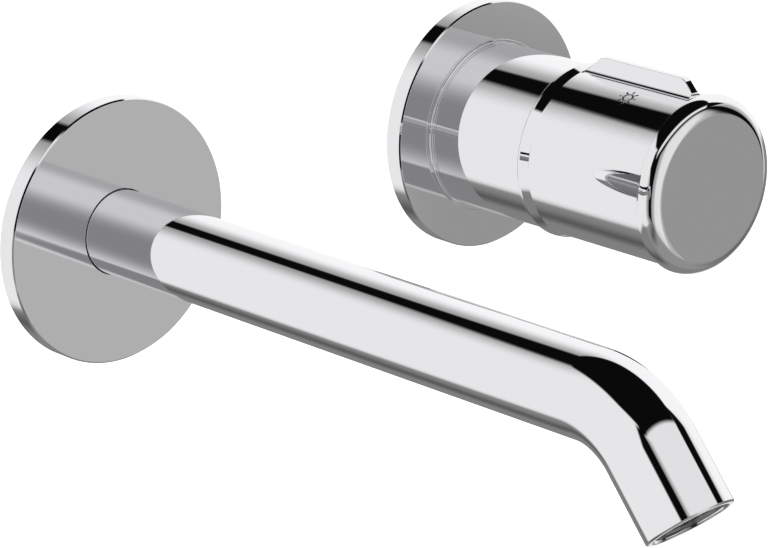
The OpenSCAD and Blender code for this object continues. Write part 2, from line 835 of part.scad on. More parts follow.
module temperature_stop() {
    color("firebrick") out_of_wall(control_x) difference() {
        union() {
            disc(stop_hub_r, stop_w, stop_w + stop_h);
            translate([0, 0, stop_w]) linear_extrude(stop_h) intersection() {
                circle(r = stop_tab_r);
                sector(2 * stop_tab_r, 90 - stop_tab_half, 90 + stop_tab_half);
            }
        }
        splines(spline_r + push_fit, stop_w - cut, stop_w + stop_h + cut);
    }
}

module glide_ring() {
    color("whitesmoke") out_of_wall(control_x)
        ring(glide_r, nut_flange_r + push_fit, glide_w, glide_w + glide_h);
}

module knob_adapter() {
    color("dimgray") out_of_wall(control_x) difference() {
        disc(adapter_r, adapter_w, adapter_end);
        splines(spline_r + push_fit, adapter_w - cut, adapter_end + cut);
    }
}

module knob_body() {
    color("silver") out_of_wall(control_x) difference() {
        rotate_extrude() polygon(concat([[0, knob_rear], [lip_r - lip_edge, knob_rear],
            [lip_r, knob_rear + lip_edge], [lip_r, flare_w], [knob_r, flare_w + flare_l]],
            arc(knob_r - rim_round, knob_front - rim_round, rim_round, 0, 90), [[0, knob_front]]));
        difference() {
            disc(knob_bore_r, knob_rear - cut, web_w);
            disc(hub_r, hub_w, web_w + cut);
        }
        disc(adapter_r + push_fit, hub_w - cut, web_w);
        disc(stem_r + running, web_w - cut, front_boss_end + cut);
        ring(knob_bore_r, front_boss_r, web_end, front_boss_end);
        disc(knob_bore_r, front_boss_end, cap_bore_w + 0.01);
        disc(cap_bore_r, cap_bore_w, knob_front + cut);
        translate([0, 0, hub_screw_w]) rotate([90, 0, 0]) {
            cylinder(r = screw_r, h = knob_r, $fn = 32);
            translate([0, 0, hub_r + cut]) cylinder(r = screw_access_r, h = knob_r, $fn = 32);
        }
        translate([-fin_half - push_fit, knob_r - fin_tenon - push_fit, fin_rear])
            cube([fin_t + 2 * push_fit, fin_tenon + 2, fin_l]);
        on_knob(mark_angle, knob_r - mark_depth, knob_r + cut) sun(mark_line);
        on_knob(-mark_angle, knob_r - mark_depth, knob_r + cut) snowflake(mark_line);
        translate([0, 0, latch_w]) rotate([0, 90, 0]) cylinder(r = latch_pin_r, h = front_boss_r + cut, $fn = 24);
    }
}

// The fin is cut to the knob's round surface, with a fillet along each side and a tenon in the knob's slot.
// Its foot stops where the cap's skirt comes to when the button is pushed in.
module grip_fin() {
    tangent = 180 + atan2(fillet_y, fillet_x);
    right = arc(fillet_x, fillet_y, fin_fillet, 180, tangent);
    left = [for (i = [len(right) - 1:-1:0]) [-right[i][0], right[i][1]]];
    foot = knob_r * 0.97;
    down = fin_corner / fin_h;
    rear_top = [fin_top, fin_rear + fin_rear_slope];
    front_top = [fin_top, fin_front - fin_front_slope];
    color("silver") out_of_wall(control_x) difference() {
        union() {
            difference() {
                intersection() {
                    translate([0, 0, fin_rear]) linear_extrude(fin_l) polygon(concat([[fin_half, fin_top]],
                        right, [[fillet_x, foot], [-fillet_x, foot]], left, [[-fin_half, fin_top]]));
                    rotate([90, 0, 90]) linear_extrude(2 * fillet_x + 1, center = true) polygon(concat(
                        [[foot - 1, fin_rear], [knob_r, fin_rear]],
                        soft(rear_top - down * [fin_h, fin_rear_slope], rear_top, rear_top + [0, fin_corner]),
                        soft(front_top - [0, fin_corner], front_top, front_top - down * [fin_h, -fin_front_slope]),
                        [[knob_r, fin_front], [foot - 1, fin_front]]));
                }
                disc(knob_r + 0.005, fin_rear - cut, fin_front + cut);
            }
            translate([-fin_half, knob_r - fin_tenon, fin_rear + 0.25])
                cube([fin_t, fin_tenon + 0.1, fin_l - 0.5]);
        }
        ring(fin_top + cut, knob_r + 0.005, skirt_rear - button_travel - fin_clear, knob_front + cut);
    }
}

module knob_set_screw() {
    color("dimgray") out_of_wall(control_x) translate([0, 0, hub_screw_w]) rotate([90, 0, 0])
        translate([0, 0, adapter_r + touch]) set_screw(hub_r - adapter_r - 0.2);
}

// Enamel that fills an engraved mark
module hot_mark() {
    color("black") out_of_wall(control_x)
        on_knob(mark_angle, knob_r - mark_depth + 0.01, knob_r - 0.3 * mark_depth) sun(mark_line - 0.02);
}

module cold_mark() {
    color("black") out_of_wall(control_x)
        on_knob(-mark_angle, knob_r - mark_depth + 0.01, knob_r - 0.3 * mark_depth) snowflake(mark_line - 0.02);
}

// Pin whose tip runs in the slot of the stem and holds the button in when it is on
module latch_pin() {
    tip = stem_r - latch_slot_deep + 0.2;
    color("lightslategray") out_of_wall(control_x) translate([tip, 0, latch_w])
        rotate([0, 90, 0]) cylinder(r = latch_pin_r - 0.01, h = front_boss_r - 0.1 - tip, $fn = 24);
}

// A collar slides in the knob's bore and a skirt slides over the knob's side
module push_cap() {
    color("silver") out_of_wall(control_x) difference() {
        rotate_extrude() polygon(concat([[0, cap_rear], [cap_r, cap_rear], [cap_r, pocket_end]],
            arc(skirt_r - pocket_round, pocket_end - pocket_round, pocket_round, 90, 0), [[skirt_r, skirt_rear],
            [cap_out_r, skirt_rear]], arc(cap_out_r - skirt_round, cap_front - skirt_round, skirt_round, 0, 90),
            [[0, cap_front]]));
        disc(cap_bore_in_r, cap_rear - cut, cap_inner_front);
        seal_groove(cap_seal_r, cap_seal_d, cap_seal_d + 0.4, cap_seal_w);
    }
}

module cap_carrier() {
    color("dimgray") out_of_wall(control_x) difference() {
        union() {
            disc(cap_bore_in_r - push_fit, carrier_plate_w, cap_inner_front - touch);
            disc(stem_r, stem_rear, carrier_plate_w + cut);
        }
        disc(rod_r + push_fit, stem_rear - cut, stem_rear + rod_socket);
        translate([stem_r - latch_slot_deep, -latch_slot_w / 2, latch_w - latch_pin_r - 0.2])
            cube([latch_slot_deep + cut, latch_slot_w, button_travel + 2 * latch_pin_r + 0.4]);
    }
}

module cap_seal() {
    color("black") out_of_wall(control_x) seal_ring(cap_seal_r, cap_seal_d, cap_seal_w);
}

module push_rod() {
    color("lightslategray") out_of_wall(control_x) {
        disc(rod_r, shutoff_w - 0.1, stem_rear + rod_socket - 0.1);
        disc(rod_head_r, shutoff_w - rod_head_h, shutoff_w - touch);
    }
}

module shutoff_seal() {
    color("black") out_of_wall(control_x) ring(shutoff_r, rod_r + touch, shutoff_w, shutoff_w + shutoff_h);
}

// A helix: at each step a ring of points stands across the wire
module return_spring() {
    steps = 16;
    sides = 8;
    rings = spring_turns * steps;
    climb = spring_front - spring_rear - spring_wire;
    slope = atan(climb / (spring_turns * 2 * PI * spring_r));
    function station(i) = let (a = i * 360 / steps)
        [for (k = [0:sides - 1]) let (u = k * 360 / sides, e = cos(u) * spring_wire / 2, f = sin(u) * spring_wire / 2)
            [(spring_r + e) * cos(a) + f * sin(slope) * sin(a),
             (spring_r + e) * sin(a) - f * sin(slope) * cos(a),
             spring_rear + spring_wire / 2 + climb * i / rings + f * cos(slope)]];
    points = [for (i = [0:rings], p = station(i)) p];
    sideways = [for (i = [0:rings - 1], k = [0:sides - 1]) let (a = i * sides + k,
        b = i * sides + (k + 1) % sides) each [[a, a + sides, b], [b, a + sides, b + sides]]];
    ends = [[for (k = [0:sides - 1]) k], [for (k = [sides - 1:-1:0]) rings * sides + k]];
    color("lightslategray") out_of_wall(control_x) polyhedron(points, concat(sideways, ends));
}

spout_rosette();
spout_tube();
spout_nipple();
spigot_seals();
spout_set_screw();
spout_rosette_ring();
spout_wall_seal();
aerator_ring();
aerator_grille();
flow_regulator();
aerator_washer();
control_rosette();
control_rosette_ring();
control_wall_seal();
control_wall_plate();
back_nut();
valve_body();
shutoff_seat();
control_sleeve();
sleeve_seal();
retaining_nut();
cartridge_base();
cartridge_seals();
fixed_disc();
cartridge_housing();
glide_ring();
moving_disc();
disc_carrier();
spindle();
spindle_seals();
rod_seal();
temperature_stop();
knob_adapter();
knob_body();
grip_fin();
knob_set_screw();
hot_mark();
cold_mark();
latch_pin();
push_cap();
cap_carrier();
cap_seal();
push_rod();
shutoff_seal();
return_spring();
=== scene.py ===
"""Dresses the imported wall-mounted basin tap: chrome surfaces, materials, stage and camera."""

import json
import math

import bpy
import numpy as np
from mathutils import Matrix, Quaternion, Vector


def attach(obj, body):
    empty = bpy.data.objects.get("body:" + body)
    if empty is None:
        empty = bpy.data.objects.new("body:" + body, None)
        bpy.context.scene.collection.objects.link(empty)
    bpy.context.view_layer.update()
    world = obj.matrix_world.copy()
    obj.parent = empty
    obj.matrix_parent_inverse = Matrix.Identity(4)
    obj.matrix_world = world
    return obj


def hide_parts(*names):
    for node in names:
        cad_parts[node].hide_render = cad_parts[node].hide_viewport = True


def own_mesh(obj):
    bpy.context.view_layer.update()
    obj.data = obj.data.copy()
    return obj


bl_info = {
    "name": "Wall Basin Tap",
    "version": (1, 0, 0),
    "blender": (4, 5, 0),
    "location": "3D View > Sidebar > Basin Tap",
    "description": "Builds the chrome surfaces, finishes, stage and camera of a two-hole wall basin tap",
    "category": "Add Mesh",
}

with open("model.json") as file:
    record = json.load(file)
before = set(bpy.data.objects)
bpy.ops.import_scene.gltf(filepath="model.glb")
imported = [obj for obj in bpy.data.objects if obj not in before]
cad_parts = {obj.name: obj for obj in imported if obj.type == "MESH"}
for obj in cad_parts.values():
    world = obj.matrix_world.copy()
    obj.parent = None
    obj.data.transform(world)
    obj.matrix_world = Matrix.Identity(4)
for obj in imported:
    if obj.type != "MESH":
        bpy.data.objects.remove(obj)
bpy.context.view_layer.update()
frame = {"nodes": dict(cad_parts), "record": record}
MM = 0.001
TURN = 2 * math.pi


# Sizes and colours that a user may change

def length(name, description, default_mm):
    """A length property whose default is given in millimetres."""
    return bpy.props.FloatProperty(name=name, description=description, default=default_mm * MM,
                                   min=0.0, precision=5, unit="LENGTH")


def colour(name, description, hex_value):
    """A colour property whose default is an sRGB hex value."""
    return bpy.props.FloatVectorProperty(name=name, description=description, default=linear(hex_value),
                                         min=0.0, max=1.0, size=3, subtype="COLOR")


def linear(hex_value):
    """Turns an sRGB hex value such as 0xE8E9EB to linear red, green and blue."""
    parts = [(hex_value >> shift & 255) / 255 for shift in (16, 8, 0)]
    return tuple(p / 12.92 if p <= 0.04045 else ((p + 0.055) / 1.055) ** 2.4 for p in parts)


class TapSizes(bpy.types.PropertyGroup):
    control_x: length("Control axis", "Distance of the control's axis from the spout's", 131.6)
    rosette_r: length("Rosette radius", "Outer radius of each wall rosette", 34.3)
    rosette_h: length("Rosette height", "Distance of a rosette's face from the wall", 5.1)
    tube_r: length("Spout radius", "Outer radius of the spout tube", 11.0)
    tube_wall: length("Spout wall", "Wall of the spout tube", 1.5)
    tube_run: length("Straight run", "Distance from the wall to the bend", 170.0)
    bend_r: length("Bend radius", "Radius of the bend on the tube's centre line", 23.5)
    bend_angle: bpy.props.FloatProperty(name="Bend angle", description="How far the spout turns down",
                                        default=math.radians(50), subtype="ANGLE")
    leg: length("Leg", "Straight length after the bend", 18.7)
    sleeve_r: length("Sleeve radius", "Outer radius of the fixed sleeve", 22.9)
    sleeve_end: length("Sleeve end", "Distance of the sleeve's front end from the wall", 38.5)
    knob_r: length("Knob radius", "Outer radius of the knob", 23.0)
    knob_rear: length("Knob rear", "Distance of the knob's rear lip from the wall", 38.8)
    knob_front: length("Knob front", "Distance of the knob's front rim from the wall", 83.0)
    cap_r: length("Button radius", "Outer radius of the push button's cap", 24.0)
    cap_front: length("Button face", "Distance of the button's face from the wall", 87.0)
    cap_round: length("Button edge", "Rounding of the button's edge", 4.6)
    cap_lap: length("Button lap", "How far the button's skirt reaches back over the knob", 0.7)
    travel: length("Button travel", "How far the button is pushed in", 2.0)


class TapColours(bpy.types.PropertyGroup):
    chrome: colour("Chrome", "Reflected tint of the plated surfaces", 0xF4F4F6)
    brass: colour("Brass", "Machined brass of the hidden fittings", 0xC9A257)
    steel: colour("Steel", "Stainless steel of plate, screws and spring", 0xB9BBBF)
    rubber: colour("Rubber", "Black seals", 0x17171A)
    foam: colour("Foam", "Grey closed-cell sealing rings", 0x56575B)
    aerator: colour("Aerator", "Dark plastic of the aerator's grille", 0x2B2C2F)
    nylon: colour("Nylon", "White moulded inner parts", 0xDAD9D2)
    stop: colour("Stop", "Red moulded temperature stop", 0x9A2A22)
    ceramic: colour("Ceramic", "Lapped valve discs", 0xECEAE2)
    enamel: colour("Enamel", "Filling of the engraved marks", 0x232325)
    floor: colour("Floor", "Studio floor", 0xFFFFFF)


# Surfaces: a turned profile carried along a straight or bent line

def rounded(corners, rows=None):
    """A closed profile with rounded corners. Each corner is (radius from the axis, distance along,
    rounding). Between corners the line is straight; at a corner it is the arc that touches both lines, so
    the normal turns evenly. Rows names an edge by its first corner and gives the distances along at which
    it is divided. Returns radius, distance and the two parts of the outward normal, which is the tangent
    turned a quarter."""
    n = len(corners)
    xy = np.array([c[:2] for c in corners], float)
    points, normals = [], []
    for k in range(n):
        before, here, after = xy[k - 1], xy[k], xy[(k + 1) % n]
        d1 = (here - before) / np.linalg.norm(here - before)
        d2 = (after - here) / np.linalg.norm(after - here)
        n1, n2 = np.array([d1[1], -d1[0]]), np.array([d2[1], -d2[0]])
        side = np.sign(n1[0] * n2[1] - n1[1] * n2[0])
        bend = math.acos(float(np.clip(d1 @ d2, -1, 1)))
        rounding = corners[k][2]
        if rounding and bend > 1e-6:
            start = here - d1 * rounding * math.tan(bend / 2)
            steps = max(3, math.ceil(math.degrees(bend) / (4 if rounding > 2 else 9)))
            t = np.linspace(0, 1, steps + 1)[:, None]
            arc = (np.sin((1 - t) * bend) * n1 + np.sin(t * bend) * n2) / math.sin(bend)
            points.append(start - side * rounding * n1 + side * rounding * arc)
            normals.append(arc)
        else:
            mean = n1 + n2
            points.append(here[None])
            normals.append((mean / np.linalg.norm(mean))[None])
        if rows and k in rows:
            along = np.asarray(rows[k], float)
            share = (along - here[1]) / (after[1] - here[1])
            points.append(here + share[:, None] * (after - here))
            normals.append(np.repeat(n2[None], len(along), 0))
    return np.vstack(points).T, np.vstack(normals).T


def straight_line(x):
    """A line that leaves the wall at x. At each distance: the place, the way along, two ways across."""
    def at(s):
        zero = np.zeros_like(s)
        one = np.ones_like(s)
        return (np.stack([x + zero, -s, zero], -1), np.stack([zero, -one, zero], -1),
                np.stack([one, zero, zero], -1), np.stack([zero, zero, one], -1))
    return at


def spout_line(run, bend, angle):
    """The spout's centre line: straight, then an arc that turns down, then straight again."""
    def at(s):
        a = np.clip((s - run) / bend, 0, angle)
        before = np.minimum(s, run)
        after = np.maximum(s - run - bend * angle, 0)
        out = before + bend * np.sin(a) + after * np.cos(a)
        down = bend * (1 - np.cos(a)) + after * np.sin(a)
        zero = np.zeros_like(s)
        return (np.stack([zero, -out, -down], -1), np.stack([zero, -np.cos(a), -np.sin(a)], -1),
                np.stack([zero + 1, zero, zero], -1), np.stack([zero, -np.sin(a), np.cos(a)], -1))
    return at


def turned(profile, normals, line, around, sunk=None):
    """Turns a profile about a line: the point is the place on the line plus the radius times the cosine
    and sine of the angle round it. Sunk may move the surface: it takes radius, distance and angle as
    grids and returns them with a mask of what it moved, and there the normal is taken from the
    neighbouring faces."""
    radius, along = (np.repeat(v[:, None], len(around), 1) for v in profile)
    angle = np.repeat(around[None], len(profile[0]), 0)
    moved = None
    if sunk:
        radius, along, angle, moved = sunk(radius, along, angle)
    place, ahead, across, up = line(along)
    out = np.cos(angle)[..., None] * across + np.sin(angle)[..., None] * up
    points = place + radius[..., None] * out
    normal = normals[0][:, None, None] * out + normals[1][:, None, None] * ahead
    if moved is not None:
        down = np.roll(points, -1, 0) - points
        right = np.roll(points, -1, 1) - points
        face = np.cross(right, down)
        face /= np.maximum(np.linalg.norm(face, axis=-1, keepdims=True), 1e-12)
        near = face + np.roll(face, 1, 0) + np.roll(face, 1, 1) + np.roll(np.roll(face, 1, 0), 1, 1)
        near /= np.maximum(np.linalg.norm(near, axis=-1, keepdims=True), 1e-12)
        normal = np.where(moved[..., None], near, normal)
    return points, normal


def closed_faces(rows, columns):
    """Four-sided faces of a grid that closes on itself both ways."""
    i, j = np.meshgrid(np.arange(rows), np.arange(columns), indexing="ij")
    i2, j2 = (i + 1) % rows, (j + 1) % columns
    corners = [i * columns + j, i * columns + j2, i2 * columns + j2, i2 * columns + j]
    return np.stack(corners, -1).reshape(-1, 4)


def piece(name, points, normals, faces, material, body, slot, *nodes):
    """Makes one finished object in metres. Points that fall together, as on the axis, become one, and the
    shading normals are the ones worked out with the surface."""
    points = points.reshape(-1, 3)
    normals = normals.reshape(-1, 3)
    key = np.round(points / 1e-7).astype(np.int64)
    _, first, back = np.unique(key, axis=0, return_index=True, return_inverse=True)
    back = back.reshape(-1)
    total = np.zeros((len(first), 3))
    np.add.at(total, back, normals)
    total /= np.maximum(np.linalg.norm(total, axis=1, keepdims=True), 1e-12)
    corners = back[faces]
    same = corners == np.roll(corners, -1, 1)
    whole = corners[same.sum(1) == 0]
    flat = corners[same.sum(1) == 1]
    thin = same[same.sum(1) == 1]
    threes = flat[~thin].reshape(-1, 3)
    mesh = bpy.data.meshes.new(name)
    mesh.from_pydata(points[first].tolist(), [], whole.tolist() + threes.tolist())
    mesh.polygons.foreach_set("use_smooth", np.ones(len(mesh.polygons), bool))
    mesh.normals_split_custom_set_from_vertices(total.tolist())
    mesh.materials.append(material)
    made = bpy.data.objects.new(name, mesh)
    bpy.context.scene.collection.objects.link(made)
    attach(made, body)
    if nodes:
        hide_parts(*nodes)
    return made


def finish(maker):
    """The material that a function makes, made once: each function gives its material its own name."""
    return bpy.data.materials.get(maker.__name__) or maker()


def plated(node, body, points, normals, faces=None):
    """A chrome piece that stands for a CAD node: a grid closed both ways unless faces are given."""
    if faces is None:
        faces = closed_faces(*points.shape[:2])
    return piece(node + "_dressed", points, normals, faces, finish(chrome_plate), body, "chrome", node)


def whole_turn(steps):
    """Angles that divide a whole turn evenly."""
    return np.arange(steps) * TURN / steps


# Materials

def feed(tree, node, inputs):
    """Sets or links a node's inputs: a value is set, a socket is linked."""
    for name, value in inputs.items():
        if isinstance(value, bpy.types.NodeSocket):
            tree.links.new(value, node.inputs[name])
        else:
            node.inputs[name].default_value = value


def add_node(tree, kind, inputs=None, **settings):
    """Adds a node with its settings, and sets or links its inputs."""
    made = tree.nodes.new(kind)
    for name, value in settings.items():
        setattr(made, name, value)
    feed(tree, made, inputs or {})
    return made


def new_material(name):
    """A material with an empty tree, its shader and its output."""
    made = bpy.data.materials.new(name)
    made.use_nodes = True
    tree = made.node_tree
    tree.nodes.clear()
    shader = add_node(tree, "ShaderNodeBsdfPrincipled")
    add_node(tree, "ShaderNodeOutputMaterial", {"Surface": shader.outputs["BSDF"]})
    return made, tree, shader


def chrome_plate():
    """Bright chrome plating on polished brass: a cool mirror with the faintest haze left by the polishing
    wheel, and waves too low to see except as a slight play in long reflections."""
    made, tree, shader = new_material("chrome_plate")
    place = add_node(tree, "ShaderNodeTexCoord").outputs["Object"]
    haze = add_node(tree, "ShaderNodeTexNoise", {"Vector": place, "Scale": 140.0, "Detail": 3.0})
    rough = add_node(tree, "ShaderNodeMapRange", {
        "Value": haze.outputs["Fac"], "From Min": 0.35, "From Max": 0.75, "To Min": 0.012, "To Max": 0.03})
    feed(tree, shader, {"Base Color": (*bpy.context.scene.tap_colours.chrome, 1), "Metallic": 1.0,
                        "Roughness": rough.outputs["Result"]})
    return made


def machined_brass():
    """Free-cutting brass as it leaves the lathe: warm yellow, a little browner where it was handled, with
    turning grooves 0.5 mm apart, coarser than the real 0.15 mm so that they show."""
    made, tree, shader = new_material("machined_brass")
    place = add_node(tree, "ShaderNodeTexCoord").outputs["Object"]
    parts = add_node(tree, "ShaderNodeSeparateXYZ", {"Vector": place})
    # The distance sideways from the nearer of the two axes, so that face grooves circle both
    half = bpy.context.scene.tap_sizes.control_x / 2
    from_middle = add_node(tree, "ShaderNodeMath", {0: parts.outputs["X"], 1: half}, operation="SUBTRACT")
    folded = add_node(tree, "ShaderNodeMath", {0: from_middle.outputs[0]}, operation="ABSOLUTE")
    sideways = add_node(tree, "ShaderNodeMath", {0: folded.outputs[0], 1: half}, operation="SUBTRACT")
    centred = add_node(tree, "ShaderNodeCombineXYZ", {"X": sideways.outputs[0], "Y": parts.outputs["Y"],
                                                      "Z": parts.outputs["Z"]}).outputs["Vector"]
    # A wave repeats every 0.314 / scale metres
    grooves = {"Vector": centred, "Scale": 628.0}
    around = add_node(tree, "ShaderNodeTexWave", grooves, bands_direction="Y")
    across = add_node(tree, "ShaderNodeTexWave", grooves, wave_type="RINGS", rings_direction="Y")
    height = add_node(tree, "ShaderNodeMath", {0: around.outputs["Fac"], 1: across.outputs["Fac"]},
                      operation="ADD")
    bump = add_node(tree, "ShaderNodeBump", {
        "Height": height.outputs[0], "Strength": 0.6, "Distance": 0.01 * MM})
    handled = add_node(tree, "ShaderNodeTexNoise", {"Vector": place, "Scale": 110.0, "Detail": 4.0})
    share = add_node(tree, "ShaderNodeMapRange", {
        "Value": handled.outputs["Fac"], "From Min": 0.4, "From Max": 0.7})
    tone = add_node(tree, "ShaderNodeMix", {
        0: share.outputs["Result"], 6: (*bpy.context.scene.tap_colours.brass, 1),
        7: (*linear(0xA97F3C), 1)}, data_type="RGBA")
    rough = add_node(tree, "ShaderNodeMapRange", {
        "Value": handled.outputs["Fac"], "From Min": 0.3, "From Max": 0.7, "To Min": 0.2, "To Max": 0.38})
    feed(tree, shader, {"Base Color": tone.outputs[2], "Roughness": rough.outputs["Result"],
                        "Normal": bump.outputs["Normal"], "Metallic": 1.0})
    return made


def stainless_steel():
    """Cold-rolled stainless steel with a fine brushed grain: long upright scratches 0.3 mm wide."""
    made, tree, shader = new_material("stainless_steel")
    place = add_node(tree, "ShaderNodeTexCoord").outputs["Object"]
    drawn = add_node(tree, "ShaderNodeMapping", {"Vector": place, "Scale": (1.0, 1.0, 0.03)})
    grain = add_node(tree, "ShaderNodeTexNoise", {
        "Vector": drawn.outputs["Vector"], "Scale": 3300.0, "Detail": 3.0})
    blotch = add_node(tree, "ShaderNodeTexNoise", {"Vector": place, "Scale": 90.0, "Detail": 2.0})
    bump = add_node(tree, "ShaderNodeBump", {
        "Height": grain.outputs["Fac"], "Strength": 0.5, "Distance": 0.01 * MM})
    tone = add_node(tree, "ShaderNodeMix", {
        0: blotch.outputs["Fac"], 6: (*bpy.context.scene.tap_colours.steel, 1),
        7: (*linear(0xA2A5AA), 1)}, data_type="RGBA")
    rough = add_node(tree, "ShaderNodeMapRange", {
        "Value": grain.outputs["Fac"], "From Min": 0.3, "From Max": 0.7, "To Min": 0.22, "To Max": 0.42})
    feed(tree, shader, {"Base Color": tone.outputs[2], "Roughness": rough.outputs["Result"],
                        "Normal": bump.outputs["Normal"], "Metallic": 1.0})
    return made


def grained(name, tone, shade, grain_mm, depth_mm, smooth, dull):
    """A material that isn't metal, from its grain's size and depth: the grain lifts the surface, a
    pattern eight times as wide mixes its tone with its shade, and its roughness runs from smooth to
    dull."""
    made, tree, shader = new_material(name)
    place = add_node(tree, "ShaderNodeTexCoord").outputs["Object"]
    grain = add_node(tree, "ShaderNodeTexNoise", {"Vector": place, "Scale": 1000 / grain_mm, "Detail": 2.0})
    wide = add_node(tree, "ShaderNodeTexNoise", {"Vector": place, "Scale": 125 / grain_mm, "Detail": 3.0})
    bump = add_node(tree, "ShaderNodeBump", {"Height": grain.outputs["Fac"], "Strength": 0.6,
                                             "Distance": depth_mm * MM})
    mixed = add_node(tree, "ShaderNodeMix", {
        0: wide.outputs["Fac"], 6: (*tone, 1), 7: (*linear(shade), 1)}, data_type="RGBA")
    rough = add_node(tree, "ShaderNodeMapRange", {
        "Value": wide.outputs["Fac"], "From Min": 0.3, "From Max": 0.7, "To Min": smooth, "To Max": dull})
    feed(tree, shader, {"Base Color": mixed.outputs[2], "Roughness": rough.outputs["Result"],
                        "Normal": bump.outputs["Normal"]})
    return made, shader


def nitrile_rubber():
    """Moulded nitrile rubber: near black, satin, with a slight bloom and the fine grit of its filler."""
    tone = bpy.context.scene.tap_colours.rubber
    return grained("nitrile_rubber", tone, 0x232428, 0.4, 0.01, 0.42, 0.6)[0]


def closed_cell_foam():
    """Closed-cell polyethylene foam: grey and dull, with cells 0.8 mm wide that show as dimples."""
    tone = bpy.context.scene.tap_colours.foam
    return grained("closed_cell_foam", tone, 0x45464A, 0.8, 0.12, 0.8, 0.95)[0]


def moulded_acetal():
    """Moulded acetal of the aerator's grille and inner carriers: dark grey with a spark-eroded grain."""
    tone = bpy.context.scene.tap_colours.aerator
    return grained("moulded_acetal", tone, 0x36373B, 0.35, 0.008, 0.35, 0.5)[0]


def moulded_nylon():
    """Moulded nylon of the cartridge: off-white, slightly waxy, with a faint flow pattern."""
    tone = bpy.context.scene.tap_colours.nylon
    made, shader = grained("moulded_nylon", tone, 0xCFCDC4, 0.6, 0.006, 0.35, 0.5)
    feed(made.node_tree, shader, {"Subsurface Weight": 0.1, "Subsurface Scale": MM})
    return made


def red_acetal():
    """Moulded red acetal of the temperature stop, coloured through, with the same fine grain."""
    tone = bpy.context.scene.tap_colours.stop
    return grained("red_acetal", tone, 0x87231C, 0.35, 0.008, 0.35, 0.48)[0]


def lapped_alumina():
    """Alumina discs lapped flat against each other: ivory, dense and almost glossy."""
    tone = bpy.context.scene.tap_colours.ceramic
    return grained("lapped_alumina", tone, 0xDFDCD0, 0.3, 0.001, 0.1, 0.2)[0]


def stoved_enamel():
    """Black stoved enamel wiped into the engraving: glossy, and a little sunk in the middle of each line."""
    tone = bpy.context.scene.tap_colours.enamel
    return grained("stoved_enamel", tone, 0x1A1A1C, 0.3, 0.004, 0.25, 0.38)[0]


# Stage

def above(*places):
    """Directions through a level plane one unit up, each given as its distance right and towards the wall."""
    return [(x, y, 1.0) for x, y in places]


def below(*places):
    """Directions through a level plane one unit down, each given in the same way."""
    return [(x, y, -1.0) for x, y in places]


def ahead(*places):
    """Directions through an upright plane one unit to the front, each given as its distance right and up."""
    return [(x, -1.0, z) for x, z in places]


